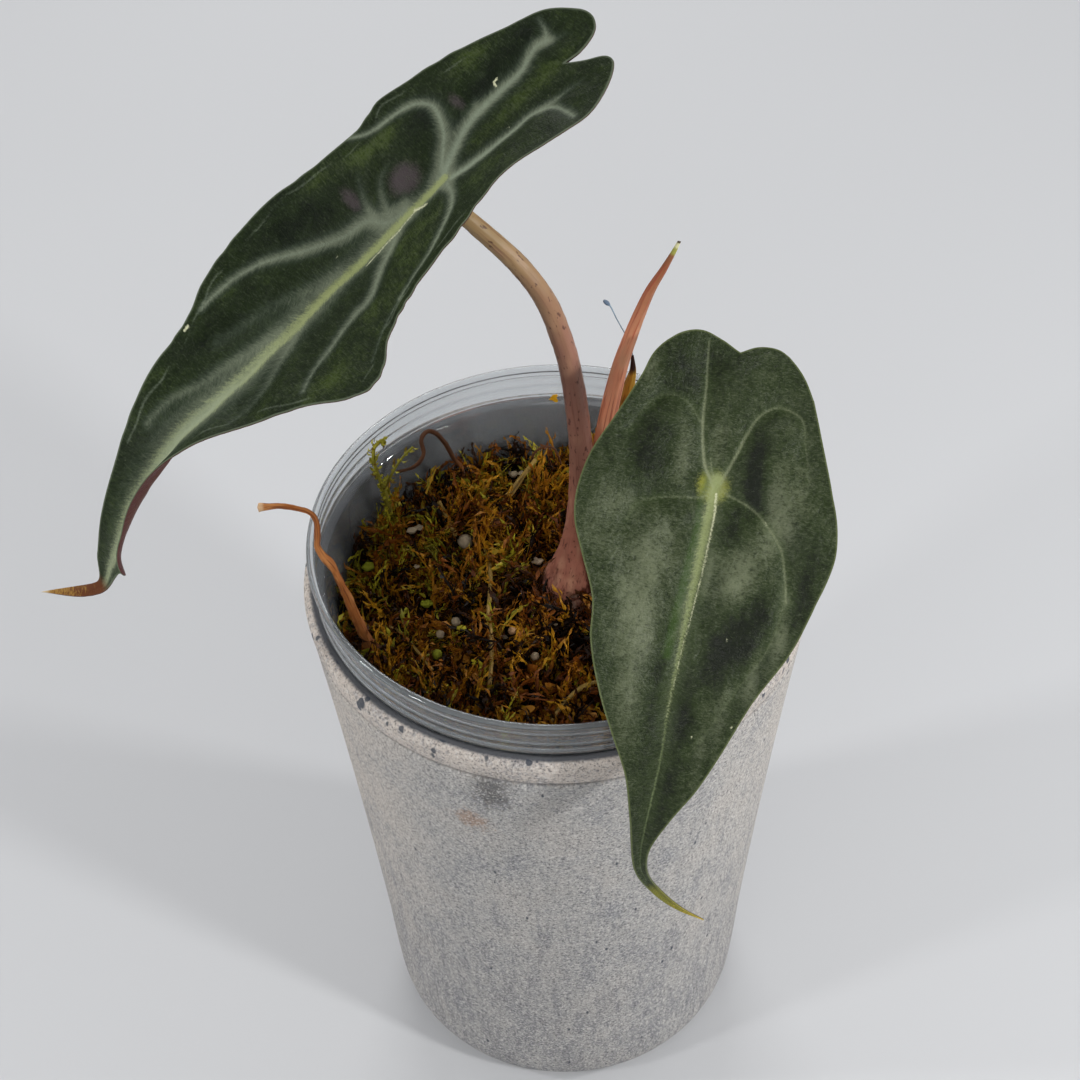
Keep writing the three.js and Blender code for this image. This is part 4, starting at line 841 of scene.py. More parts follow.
def sizes_along(values, count, stations=None):
    """Smooth run of count sizes through values at their stations, which are even unless given."""
    if stations is None:
        stations = np.linspace(0, 1, len(values))
    return through(stations, [[value] for value in values], np.linspace(0, 1, count))[0][:, 0]


def sleeve(rings, sides):
    """Faces between rings of points that follow each other."""
    return [(i * sides + j, i * sides + (j + 1) % sides, (i + 1) * sides + (j + 1) % sides,
             (i + 1) * sides + j) for i in range(rings - 1) for j in range(sides)]


def fibred_piece(name, points, faces, straight, along):
    """Piece that carries its straightened coordinates and how far along it each point is."""
    piece = new_piece(name, points, faces)
    carry(piece, "straight", np.array(straight) * MM)
    carry(piece, "along", along)
    turn_faces_out(piece)
    return piece


def tube(name, shape, sides=20, spacing=1.0, wrinkle=0.0, seed=0):
    """Closed stalk along a smooth path, with straightened coordinates for its fibres."""
    places, ways = even_path(shape["path"], spacing)
    count = len(places)
    radii = sizes_along(shape["radii"], count, shape.get("stations"))
    flatness = shape.get("flatness", 1)
    reach = reaches(places)
    aside = np.cross(ways[0], (0.3, 1, 0.2))
    aside /= np.linalg.norm(aside)
    points, straight, along = [], [], []
    for i in range(count):
        aside = aside - ways[i] * (aside @ ways[i])
        aside /= np.linalg.norm(aside)
        other = np.cross(ways[i], aside)
        for j in range(sides):
            turn = 2 * math.pi * j / sides
            lump = noise.noise(Vector((2 * math.cos(turn), 2 * math.sin(turn) + seed, reach[i] * 0.5)))
            ridge = noise.noise(Vector((4 * math.cos(turn), 4 * math.sin(turn) - seed, reach[i] * 0.09)))
            radius = radii[i] * (1 + wrinkle * (lump + ridge))
            points.append(places[i] + radius * (math.cos(turn) * aside + flatness * math.sin(turn) * other))
            straight.append((radii[i] * math.cos(turn), radii[i] * math.sin(turn), reach[i]))
            along.append(reach[i] / reach[-1])
    faces = sleeve(count, sides)
    for ring, end in ((0, 0), (count - 1, 1)):
        points.append(places[ring] + ways[ring] * radii[ring] * (0.25 if end else -0.25))
        straight.append((0, 0, reach[ring]))
        along.append(end)
        faces += [(ring * sides + j, ring * sides + (j + 1) % sides, len(points) - 1) for j in range(sides)]
    return fibred_piece(name, points, faces, straight, along)


def sheath_piece(name, shape, flutes, wall=0.7, arms=16, spacing=1.0, split=70):
    """Pointed sleeve, split along its back, with a wall of its own."""
    places, ways = even_path(shape["path"], spacing)
    count = len(places)
    widths = sizes_along(shape["widths"], count)
    reach = reaches(places)
    ring = 2 * (2 * arms + 1)
    points, straight, along = [], [], []
    for place, way, width, far in zip(places, ways, widths, reach):
        opening = np.array(shape["opening"], float)
        opening -= way * (opening @ way)
        opening /= np.linalg.norm(opening)
        across = np.cross(opening, way)
        thick = min(wall, width * 0.8)
        for inner, row in ((False, range(-arms, arms + 1)), (True, range(arms, -arms - 1, -1))):
            for k in row:
                turn = math.radians(split) * k / arms
                radius = width - thick if inner else width
                radius *= 1 + flutes * math.sin(9 * turn) * (0.4 if inner else 1)
                points.append(place + across * radius * math.sin(turn)
                              + opening * (width * 0.5 - radius * math.cos(turn)))
                straight.append((width * math.sin(turn), width * math.cos(turn), far))
                along.append(far / reach[-1])
    faces = sleeve(count, ring)
    for start in (0, (count - 1) * ring):
        faces += [(start + j, start + j + 1, start + ring - 2 - j, start + ring - 1 - j)
                  for j in range(2 * arms)]
    return fibred_piece(name, points, faces, straight, along)


# Leaf blades
def bend(leaf, x, y, share, up):
    """Places of flat blade points in space. share is 0 on the midrib and 1 on the margin."""
    knots = reaches(leaf["at"])
    knots = knots - knots[leaf["stalk_station"]]
    places, ways = through(knots, leaf["at"], x)
    ways /= np.linalg.norm(ways, axis=1, keepdims=True)
    other = through(knots, np.hstack([leaf["side"], leaf["fold"], leaf["lift"]]), x)[0]
    side = other[:, :3] - (other[:, :3] * ways).sum(1, keepdims=True) * ways
    side /= np.linalg.norm(side, axis=1, keepdims=True)
    normal = np.cross(side, ways)
    left = y >= 0
    fold = np.radians(np.where(left, other[:, 3], other[:, 4]))
    lift = np.where(left, other[:, 5], other[:, 6]) * share ** 2
    across = np.abs(y)
    near = np.minimum(1, across)
    sideways = np.where(left, 1, -1) * (across * np.cos(fold) - up * np.sin(fold) * near)
    upward = across * np.sin(fold) + lift + up * np.cos(fold * near)
    return places + side * sideways[:, None] + normal * upward[:, None]


def outline(leaf, half, x):
    """Flat margin points of one half for places along the midrib."""
    lobe = np.array(leaf["lobes"][half], float)
    widths = np.array(leaf["widths"][half], float)
    reach = reaches(lobe)
    share = (x - leaf["notch"][0]) / (LOBE_JOIN - leaf["notch"][0])
    on_lobe = through(reach, lobe, np.clip(share, 0, 1) * reach[-1])[0]
    width = np.maximum(through(widths[:, 0], widths[:, 1:], x)[0][:, 0], 0)
    on_main = np.stack([x, width * (1 if half == 0 else -1)], 1)
    return np.where((x < LOBE_JOIN)[:, None], on_lobe, on_main)


def flat_rows(leaf, spacing):
    """Places along the midrib of the rows of a blade's mesh, from the notch to the tip."""
    tip = leaf["widths"][0][-1][0]
    lobe_rows = int(max(reaches(lobe)[-1] for lobe in leaf["lobes"]) / spacing)
    main_rows = int((tip - LOBE_JOIN) / spacing)
    return np.concatenate([np.linspace(leaf["notch"][0], LOBE_JOIN, lobe_rows, endpoint=False),
                           np.linspace(LOBE_JOIN, tip, main_rows + 1)])


def flat_sheet(leaf, rows, columns):
    """Flat points and shares of one face of a blade: the notch, the grid, and the tip."""
    inner = rows[1:-1]
    shares = np.linspace(-1, 1, 2 * columns + 1)
    axis_y = np.where(inner < LOBE_JOIN, leaf["notch"][1], 0.0)
    left, right = outline(leaf, 0, inner), outline(leaf, 1, inner)
    margin = np.where((shares <= 0)[None, :, None], left[:, None], right[:, None])
    share = np.abs(shares)[None, :]
    x = inner[:, None] + (margin[..., 0] - inner[:, None]) * share
    y = axis_y[:, None] * (1 - share) + margin[..., 1] * share
    share = np.broadcast_to(share, x.shape)
    ends = [[rows[0], leaf["notch"][1], 1.0]], [[rows[-1], 0.0, 1.0]]
    grid = np.stack([x, y, share], -1).reshape(-1, 3)
    return np.concatenate([ends[0], grid, ends[1]])


def sheet_faces(start, rows, columns):
    """Faces of one face of a blade, whose first point has the index start."""
    wide = 2 * columns + 1
    inner = len(rows) - 2
    tip = start + 1 + inner * wide
    row, col = np.meshgrid(np.arange(inner - 1), np.arange(wide - 1), indexing="ij")
    a = start + 1 + row * wide + col
    quads = np.stack([a, a + 1, a + wide + 1, a + wide], -1).reshape(-1, 4).tolist()
    last = start + 1 + (inner - 1) * wide
    fans = [(start, start + 2 + j, start + 1 + j) for j in range(wide - 1)]
    fans += [(tip, last + j, last + j + 1) for j in range(wide - 1)]
    return quads + fans


def sheet_border(start, rows, columns, right):
    """Indices of the left or right margin of one face of a blade, from the notch to the tip."""
    wide = 2 * columns + 1
    inner = len(rows) - 2
    margin = [start + 1 + i * wide + (wide - 1) * right for i in range(inner)]
    return [start, *margin, start + 1 + inner * wide]


def from_lines(flat, lines):
    """Soft bands along paths in the flat blade, fading with the distance from the nearest. Also gives that
    distance and how far along all the paths that place is."""
    places, widths, strengths = [], [], []
    for path, width, strength in lines:
        line = even_path(path, 0.15)[0]
        places.append(line)
        share = np.linspace(0, 1, len(line))
        widths.append(np.interp(share, np.linspace(0, 1, len(width)), width))
        strengths.append(np.interp(share, np.linspace(0, 1, len(strength)), strength))
    places, widths, strengths = map(np.concatenate, (places, widths, strengths))
    tree = KDTree(len(places))
    for i, (x, y) in enumerate(places):
        tree.insert((x, y, 0), i)
    tree.balance()
    found = np.array([tree.find((x, y, 0))[1:] for x, y in flat]).reshape(-1, 2)
    nearest = found[:, 0].astype(int)
    distance = found[:, 1]
    return strengths[nearest] * np.exp(-(distance / widths[nearest]) ** 2), distance, nearest * 0.15


def from_areas(flat, areas):
    """Sum of soft oval areas in the flat blade."""
    total = np.zeros(len(flat))
    for x, y, long, wide, level in areas:
        total += level * np.exp(-((flat[:, 0] - x) / long) ** 2 - ((flat[:, 1] - y) / wide) ** 2)
    return total


def margin_distance(leaf, flat):
    """Distance of flat points from the blade's margin."""
    rows = flat_rows(leaf, 0.25)
    border = np.concatenate([outline(leaf, 0, rows), outline(leaf, 1, rows)])
    tree = KDTree(len(border))
    for i, place in enumerate(border):
        tree.insert((place[0], place[1], 0), i)
    tree.balance()
    return np.array([tree.find((x, y, 0))[2] for x, y in flat])


def ramp(values, low, high):
    """Rises evenly from 0 at low to 1 at high, which may be the smaller of the two."""
    return np.clip((values - low) / (high - low), 0, 1)


def unevenness(flat, long, wide, seed):
    """Soft noise over the flat blade, with features of about that length and width."""
    return np.array([noise.noise(Vector((x / long, y / wide, seed))) for x, y in flat])


def blade_piece(name, leaf, marks, spacing):
    """One blade: a dense upper face with puckers and sunk veins, and a lighter underside with its ribs."""
    rows = flat_rows(leaf, spacing)
    tip = rows[-1]
    top_columns = int(max(width for half in leaf["widths"] for _, width in half) / spacing)
    low_columns = 10
    top, low = flat_sheet(leaf, rows, top_columns), flat_sheet(leaf, rows, low_columns)
    both = np.concatenate([top, low])
    flat, share = both[:, :2], both[:, 2]
    x, y = flat.T
    under = np.zeros(len(both))
    under[len(top):] = 1
    fields = {key: np.zeros(len(both)) for key in ("glow", "rib", "midrib", "cream", "green")}
    veins = [*marks["veins"], marks["midrib"]]
    for path, line_width, line_strength, glow_width, glow_strength in veins:
        key = "midrib" if path is marks["midrib"][0] else "rib"
        fields[key] = np.maximum(fields[key], from_lines(flat, [(path, line_width, line_strength)])[0])
        glow = from_lines(flat, [(path, glow_width, glow_strength)])[0]
        fields["glow"] = 1 - (1 - fields["glow"]) * (1 - glow)
    vein_gap, run = from_lines(flat, [(path, (1, 1), (1, 1)) for path, *_ in veins])[1:]
    for key in ("cream", "green"):
        if marks[key]:
            fields[key] = from_lines(flat, marks[key])[0]
    edge = margin_distance(leaf, flat)
    lumps = unevenness(flat, 9, 7, marks["seed"])
    # The vein that runs inside the margin comes and goes
    line_at = 2.5 + 0.7 * np.sin(x * 0.21) + 0.3 * np.sin(x * 0.63 + 1)
    inner_line = marks["edge_line"] * np.exp(-((edge - line_at) / 0.42) ** 2)
    fade = ramp(x, tip - 25, tip - 45) * ramp(x, -28, -20)
    fields["rib"] = np.maximum(fields["rib"], inner_line * fade * np.clip(0.7 + 2.2 * lumps, 0.3, 1))
    # Painted shade and sheen: broad areas lightened or darkened for the light on the puckers
    fields["painted_shade_and_sheen"] = 0.5 + 0.5 * np.clip(from_areas(flat, marks["shade_and_sheen_areas"]), -1, 1)
    fields["sheen_and_junction_tint"] = from_areas(flat, marks["sheen_and_junction_tint"])
    fields["edge"] = edge
    fields["pale"] = fields["midrib"] * ramp(x, 25, 70)
    fields["tail"] = ramp(x, marks["tail_from"], tip)
    fields["under"] = under

    small = unevenness(flat, 3.2, 2.6, marks["seed"] + 5)
    puff = 1 - np.exp(-(np.minimum(vein_gap, 12) / PUFF_REACH) ** 2)
    swell = ramp(edge, 0, 5) * ramp(x, tip - 30, tip - 60) * (
        marks["puff"] * (puff - 0.6) + marks["lumps"] * lumps + marks["small"] * small)
    ripple = np.zeros(len(both))
    for low_x, high_x, half, height, wave in marks["ripples"]:
        here = ramp(x, low_x, low_x + 6) * ramp(x, high_x, high_x - 6) * (np.sign(y) == half)
        phase = 2 * math.pi * x / wave + 1.6 * np.sin(x * 0.31)
        ripple += height * here * np.exp(-edge / 1.6) * np.sin(phase)
    inward = ramp(edge, 0, 3)
    sunk = -FURROW_DEPTH * np.clip(fields["rib"] + fields["midrib"], 0, 1) * inward
    rib_below = RIB_BELOW[0] * (1 - np.clip(x, 0, None) / tip) * np.exp(-(y / RIB_BELOW[1]) ** 2)
    rib_below *= ramp(x, LOBE_JOIN, LOBE_JOIN + 10)
    seat = STALK_SEAT[0] * np.exp(-(x ** 2 + y ** 2) / STALK_SEAT[1] ** 2)
    thick = BLADE_THICKNESS * (1 - MARGIN_THINNING * np.exp(-edge / 0.6))
    rise = swell + ripple + sunk * (under == 0)
    rise -= under * (thick + (rib_below + seat + 0.3 * fields["rib"]) * inward)
    points = bend(leaf, x, y, share, rise)

    faces = sheet_faces(0, rows, top_columns) + sheet_faces(len(top), rows, low_columns)
    for right in (0, 1):
        upper = sheet_border(0, rows, top_columns, right)
        lower = sheet_border(len(top), rows, low_columns, right)
        faces += [(upper[i], upper[i + 1], lower[i + 1], lower[i]) for i in range(len(upper) - 1)]
    piece = new_piece(name, points, faces)
    for key, values in fields.items():
        carry(piece, key, values)
    carry(piece, "flat", np.column_stack([flat, np.zeros(len(flat))]) * MM)
    carry(piece, "combed", np.column_stack([run - 0.7 * vein_gap, 0.12 * vein_gap, 0.25 * y]) * MM)
    turn_faces_out(piece)
    return piece


# Moss
def moss_height(x, y):
    """Height of the moss bed, lumpy."""
    return (MOSS_TOP + 0.02 * y + 1.5 * np.sin(x * 0.23 + 1.3) * np.cos(y * 0.19 - 0.4)
            + 1.1 * np.sin(x * 0.41 - y * 0.33 + 2.1))


def surface_height(x, y):
    """Height of the moss with its hollows and hummocks, at one place."""
    hollow = noise.noise(Vector((x / 8, y / 8, 9.1)))
    mound_x, mound_y, height, spread = MOUND
    mound = height * math.exp(-((x - mound_x) ** 2 + (y - mound_y) ** 2) / spread)
    return float(moss_height(x, y)) + 2.6 * hollow - 1.6 + mound


def cup_inside(z):
    """Inside radius of the cup at a height, up to the pot's rim."""
    share = np.clip((z - CUP_BASE_Z) / (POT_HEIGHT - CUP_BASE_Z), 0, 1)
    return CUP_BASE_RADIUS + (CUP_NECK_RADIUS - CUP_BASE_RADIUS) * share - CUP_WALL


def kept_in_cup(placed, gap):
    """Points drawn in towards the middle where they would pierce the cup's wall."""
    far = np.hypot(placed[:, 0], placed[:, 1])
    placed[:, :2] *= np.minimum(1, (cup_inside(placed[:, 2]) - gap) / np.maximum(far, 1e-6))[:, None]
    return placed


def place_on_bed(rng, reach):
    """Random place within reach of the middle of the bed."""
    distance = reach * math.sqrt(rng.random())
    bearing = rng.uniform(0, 2 * math.pi)
    return distance * math.cos(bearing), distance * math.sin(bearing)


def tumble(heading, pitch, roll):
    """Turns rows of points: rolled about X, pitched about Y, then turned to a heading."""
    turn = Matrix.Rotation(heading, 3, "Z") @ Matrix.Rotation(pitch, 3, "Y") @ Matrix.Rotation(roll, 3, "X")
    return np.array(turn).T


def moss_bed(rings=56, sectors=150):
    """Closed bed with a lumpy top, which fills the cup."""
    edge = float(cup_inside(MOSS_TOP - 4)) - 0.9
    foot, floor = CUP_BASE_RADIUS - 4, CUP_BASE_Z + CUP_WALL + 0.4
    points = [(0, 0, surface_height(0, 0) - 2)]
    for i in range(1, rings + 1):
        for j in range(sectors):
            turn = 2 * math.pi * j / sectors
            x, y = edge * i / rings * math.cos(turn), edge * i / rings * math.sin(turn)
            lump = 1.8 * noise.noise(Vector((x / 3, y / 3, 0))) + noise.noise(Vector((x, y, 4)))
            sink = 3.0 * max(0, i / rings - 0.94) / 0.06
            points.append((x, y, surface_height(x, y) - 2 + lump - sink))
    for j in range(sectors):
        turn = 2 * math.pi * j / sectors
        points.append((foot * math.cos(turn), foot * math.sin(turn), floor))
    points.append((0, 0, floor))
    faces = []
    for j in range(sectors):
        after = (j + 1) % sectors
        faces.append((0, 1 + j, 1 + after))
        for i in range(rings):
            a, b = 1 + i * sectors + j, 1 + i * sectors + after
            faces.append((a, a + sectors, b + sectors, b))
        faces.append((len(points) - 1, 1 + rings * sectors + after, 1 + rings * sectors + j))
    bed = new_piece("moss_bed", points, faces)
    # The bed takes the near-black shade: painted shade in the gaps between the sprigs
    carry(bed, "tint", [0.05] * len(points))
    turn_faces_out(bed)
    return bed


def leaflet(root, way, out, long, wide):
    """Thin closed moss leaf, folded along its middle and curled at the tip: five points and six faces."""
    aside = np.cross(way, out)
    aside /= np.linalg.norm(aside) + 1e-9
    lift = np.cross(aside, way)
    middle = root + way * long * 0.45
    return [root, middle + aside * wide + lift * wide * 0.3, middle - aside * wide + lift * wide * 0.3,
            root + way * long * 0.95 - lift * long * 0.22, middle + way * long * 0.12 + lift * wide * 0.75]


LEAFLET_FACES = ((0, 2, 1), (1, 2, 3), (0, 1, 4), (0, 4, 2), (1, 3, 4), (4, 3, 2))


def sprig(rng, bow, broad, long_range):
    """A moss sprig of length 1 along X: a bowed stem with small curled leaves in a spiral."""
    steps, sides = 2, 3

    def spine(t):
        return np.array([math.sin(bow * t) / bow, 0.12 * math.sin(2.6 * t), (1 - math.cos(bow * t)) / bow])

    points = []
    for i in range(steps + 1):
        for j in range(sides):
            turn = 2 * math.pi * j / sides
            points.append(spine(i / steps) + 0.03 * (1 - 0.5 * i / steps)
                          * np.array([0, math.cos(turn), math.sin(turn)]))
    faces = [*sleeve(steps + 1, sides), (2, 1, 0), tuple(steps * sides + j for j in range(sides))]
    for k in range(LEAFLETS):
        t = 0.05 + 0.95 * k / (LEAFLETS - 1)
        turn = 2.4 * k + rng.uniform(-0.5, 0.5)
        spread = rng.uniform(0.45, 1.15) * (1 - 0.5 * t)
        ahead = spine(min(t + 0.02, 1.02)) - spine(t)
        ahead /= np.linalg.norm(ahead)
        out = np.array([0, math.cos(turn), math.sin(turn)])
        way = out * math.sin(spread) + ahead * math.cos(spread)
        way /= np.linalg.norm(way)
        long = rng.uniform(*long_range) * (1.2 - 0.5 * t)
        faces += [tuple(len(points) + i for i in face) for face in LEAFLET_FACES]
        points += leaflet(spine(t), way, out, long, long * broad * rng.uniform(0.7, 1.2))
    return np.array(points), faces


def seen(places):
    """Places across, up and towards the camera, as the camera looks at them."""
    pitch = math.radians(VIEW_PITCH)
    x, y, z = np.asarray(places, float).reshape(-1, 3).T
    return x, y * math.sin(pitch) + z * math.cos(pitch), z * math.sin(pitch) - y * math.cos(pitch)


def hides(placed, clear):
    """True where a sprig would cover one of the grains, or run through it."""
    x, up, near = seen(placed)
    for spot, radius in clear:
        spot_x, spot_up, spot_near = (value[0] for value in seen([spot]))
        if np.any((np.hypot(x - spot_x, up - spot_up) < radius * 0.7) & (near > spot_near - radius)):
            return True
    return False


def grain_spots():
    """Middle and radius of each grain, then of each crumb."""
    grains = [((x, y, float(moss_height(x, y)) + GRAIN_RISE), radius) for x, y, radius, _ in BEADS]
    return grains + [((x, y, surface_height(x, y) + CRUMB_RISE), radius) for x, y, radius, _ in CRUMBS]


def sprig_heap(name, rng, kinds, count, length, tint_range, clear, greener):
    """Many sprigs laid on the hummocks of the bed, each turned and scaled its own way, kept inside the cup
    and off the round grains. The greener a heap is, the more it keeps to the back left."""
    points, faces, tints = [], [], []
    start = 0
    while count:
        shape, shape_faces = kinds[rng.randrange(len(kinds))]
        x, y = place_on_bed(rng, MOSS_REACH)
        hummock = noise.noise(Vector((x / 4.6, y / 4.6, 9.1)))
        if hummock < rng.uniform(-0.35, 0.12):
            continue
        size = length * rng.uniform(0.5, 1.0) * rng.choice((0.7, 1, 1.3))
        pitch = math.radians(rng.choice((rng.uniform(-20, 10), rng.uniform(-10, 25), rng.uniform(10, 50))))
        turned = shape @ tumble(rng.uniform(0, 2 * math.pi), -pitch, rng.uniform(-0.8, 0.8))
        if rng.random() > 1 - greener * (1 - min(max((0.5 * y - x + 5) / 30, 0), 1)):
            continue
        rise = rng.uniform(-2.6, 0.8) + 2.2 * hummock
        placed = turned * size + np.array([x, y, surface_height(x, y) + rise])
        if hides(placed, clear):
            continue
        points.append(kept_in_cup(placed, 0.5))
        faces += [tuple(start + i for i in face) for face in shape_faces]
        # Sprigs that sit lower get darker shades, as painted shade deep in the moss; the clumps vary at
        # random
        clump = noise.noise(Vector((x / 5, y / 5, 3.3))) * 1.2
        level = 0.46 + clump + 0.15 * rise + rng.uniform(-0.25, 0.25)
        tints += [tint_range[0] + (tint_range[1] - tint_range[0]) * min(max(level, 0), 1)] * len(placed)
        start += len(placed)
        count -= 1
    piece = new_piece(name, np.concatenate(points), faces)
    carry(piece, "tint", tints)
    return piece


def litter(rng, count, clear, rows=4):
    """Curled brown scraps of leaf between the sprigs: each a small bent strip with two sides."""
    points, faces, tints = [], [], []
    while count:
        x, y = place_on_bed(rng, MOSS_REACH * 0.92)
        long, wide, curl = rng.uniform(5, 9), rng.uniform(1.0, 2.0), rng.uniform(0.5, 1.8)
        turn = tumble(rng.uniform(0, 2 * math.pi), rng.uniform(-0.6, 0.3), rng.uniform(-0.9, 0.9))
        strip = [(0, 0, 0)]
        for i in range(1, rows + 1):
            t = i / (rows + 1)
            half = wide * math.sin(math.pi * t) ** 0.7
            far, high = long * math.sin(curl * t) / curl, long * (1 - math.cos(curl * t)) / curl
            strip += [(far, half, high + 0.35 * half), (far, 0, high - 0.1 * half),
                      (far, -half, high + 0.35 * half), (far, 0, high - 0.1 * half - 0.25)]
        strip.append((long * math.sin(curl) / curl, 0, long * (1 - math.cos(curl)) / curl))
        placed = np.array(strip) @ turn + [x, y, surface_height(x, y) + rng.uniform(1, 3)]
        if hides(placed, clear):
            continue
        start = len(points)
        last = start + 4 * rows + 1
        for j in range(4):
            k = (j + 1) % 4
            faces.append((start, start + 1 + j, start + 1 + k))
            faces += [(start + 4 * i + 1 + j, start + 4 * i + 5 + j, start + 4 * i + 5 + k,
                       start + 4 * i + 1 + k) for i in range(rows - 1)]
            faces.append((last, last - 4 + k, last - 4 + j))
        points += kept_in_cup(placed, 0.6).tolist()
        tints += [rng.uniform(0.25, 0.7)] * len(strip)
        count -= 1
    piece = new_piece("leaf_litter", points, faces)
    carry(piece, "tint", tints)
    turn_faces_out(piece)
    return piece


def curl_frill(rng):
    """Small leaves all round the green curl and its branch."""
    points, faces, tints = [], [], []
    for path, count in ((GREEN_CURL["path"], 120), (CURL_BRANCH["path"], 26)):
        places, ways = even_path(path, 0.1)
        for k in range(count):
            share = k / (count - 1)
            i = int(share * (len(places) - 1))
            turn = rng.uniform(0, 2 * math.pi)
            out = np.array([math.cos(turn), math.sin(turn), rng.uniform(-0.6, 0.6)])
            out -= ways[i] * (out @ ways[i])
            out /= np.linalg.norm(out)
            way = out + ways[i] * rng.uniform(0.1, 1.0)
            way /= np.linalg.norm(way)
            long = rng.uniform(1.2, 2.6) * (1 - 0.3 * share)
            faces += [tuple(len(points) + n for n in face) for face in LEAFLET_FACES]
            points += leaflet(places[i] + out * 0.3, way, out, long, long * 0.28)
            tints += [rng.uniform(0.55, 1.0)] * 5
    frill = new_piece("moss_curl_leaves", points, faces)
    carry(frill, "tint", tints)
    return frill


def lumpy_ball(name, middle, radius, seed, rough, shape=(1, 1, 1), tint=None):
    """Small irregular grain on a primitive ball, in one shade if a tint is given."""
    deselect()
    bpy.ops.mesh.primitive_ico_sphere_add(subdivisions=3, radius=1)
    piece = bpy.context.object
    piece.name = name
    for point in piece.data.vertices:
        lump = 1 - rough + rough * noise.noise(point.co * 1.3 + Vector((seed * 7.3, 0, 0)))
        point.co = (Vector(middle) + Vector([c * f for c, f in zip(point.co, shape)]) * radius * lump) * MM
    if tint is not None:
        carry(piece, "tint", [tint] * len(piece.data.vertices))
    return piece


def pot_outside(heights):
    """Outside radius of the cover pot at some heights."""
    return through([z for z, _ in POT_OUTSIDE], [[r] for _, r in POT_OUTSIDE], heights)[0][:, 0]


class AlocasiaOperator:
    bl_options = {"REGISTER"}


class ALOCASIA_OT_cover_pot(AlocasiaOperator, bpy.types.Operator):
    """Turn the stoneware cover pot and give it its gritty clay"""
    bl_idname = "alocasia.cover_pot"
    bl_label = "Cover pot"

    def execute(self, context):
        heights = np.concatenate([[0, 0.7, 1.4, 2.2, 3.2, 4.4, 6, 8, 10, 12], np.linspace(18, 146, 23)])
        rim, top, ring = POT_RIM_RADIUS, POT_HEIGHT, POT_HEIGHT - RING_DROP
        before, at_ring, after = pot_outside([ring - 0.9, ring, ring + 0.9]).tolist()
        lip = [(before, ring - 0.9), (at_ring - 0.6, ring), (after, ring + 0.9), (rim - 0.2, top - 4),
               (rim, top - 2.2), (rim - 0.15, top - 1.1), (rim - 0.7, top - 0.4), (rim - 1.6, top),
               (rim - POT_WALL + 1.2, top), (rim - POT_WALL + 0.3, top - 0.4), (rim - POT_WALL, top - 1.2)]
        inner = [(r, z) for z, r in POT_INSIDE]
        piece = spun("stoneware_cover_pot", [(0, 0), *zip(pot_outside(heights), heights), *lip, *inner,
                                             (0, POT_FLOOR)])
        x, y, z = (np.array([point.co for point in piece.data.vertices]) / MM).T
        depth = pot_outside(z) - np.hypot(x, y)
        carry(piece, "inner", ((depth > POT_WALL * 0.6) & (z > POT_FLOOR - 1)).astype(float))
        carry(piece, "groove", np.exp(-((z - ring) / 0.6) ** 2) * (depth < 1.5))
        # Painted shade on the rim's top, under the cup's ledge
        carry(piece, "painted_ledge_shade", ramp(depth, 1.4, 2.0) * (z > top - 1.5))
        for key, (across, high, wide, tall) in POT_MARKS.items():
            carry(piece, key, np.exp(-((x - across) / wide) ** 2 - ((z - high) / tall) ** 2) * (y < 0))
        material = stoneware_material(context.scene.alocasia_colours, context.scene.alocasia_sizes.grit)
        finish_piece(piece, material, "stoneware", "cover_pot", angle=50)
        return {"FINISHED"}


class ALOCASIA_OT_nursery_cup(AlocasiaOperator, bpy.types.Operator):
    """Turn the clear ribbed cup"""
    bl_idname = "alocasia.nursery_cup"
    bl_label = "Nursery cup"

    def execute(self, context):
        seat, rim = CUP_SEAT, CUP_RIM_RADIUS
        base, neck, low, wall = CUP_BASE_RADIUS, CUP_NECK_RADIUS, CUP_BASE_Z, CUP_WALL
        heights = np.linspace(seat + 1.0, CUP_TOP - 2.4, 49)
        waves = RIB_DEPTH * np.cos(2 * math.pi * (heights - heights[0]) / RIB_PITCH)
        ribs = list(zip(rim - RIB_INSET + waves, heights))
        middle_r, middle_z = rim - CUP_LIP_RADIUS, CUP_TOP - CUP_LIP_RADIUS
        lip = [(middle_r + CUP_LIP_RADIUS * math.cos(t), middle_z + CUP_LIP_RADIUS * math.sin(t))
               for t in np.linspace(-0.6 * math.pi, 0.75 * math.pi, 13)]
        below, above = ([(rim - inward, seat + rise) for inward, rise in ledge]
                        for ledge in (LEDGE_BELOW, LEDGE_ABOVE))
        outside = [(base - 2, low), (base - 0.6, low + 0.6), (base, low + 2), (neck, seat), *below, *ribs,
                   *lip]
        inside = [*[(r - RIB_WALL, z) for r, z in reversed(ribs)], *above,
                  (neck - wall + 0.5, seat + RIB_WALL), (neck - wall, seat - 0.3), (base - wall, low + 2.4),
                  (base - 2.6, low + wall)]
        piece = spun("clear_ribbed_cup", [(0, low), *outside, *inside, (0, low + wall)])
        finish_piece(piece, cup_material(context.scene.alocasia_colours), "clear_plastic", "nursery_cup",
                     angle=40)
        return {"FINISHED"}


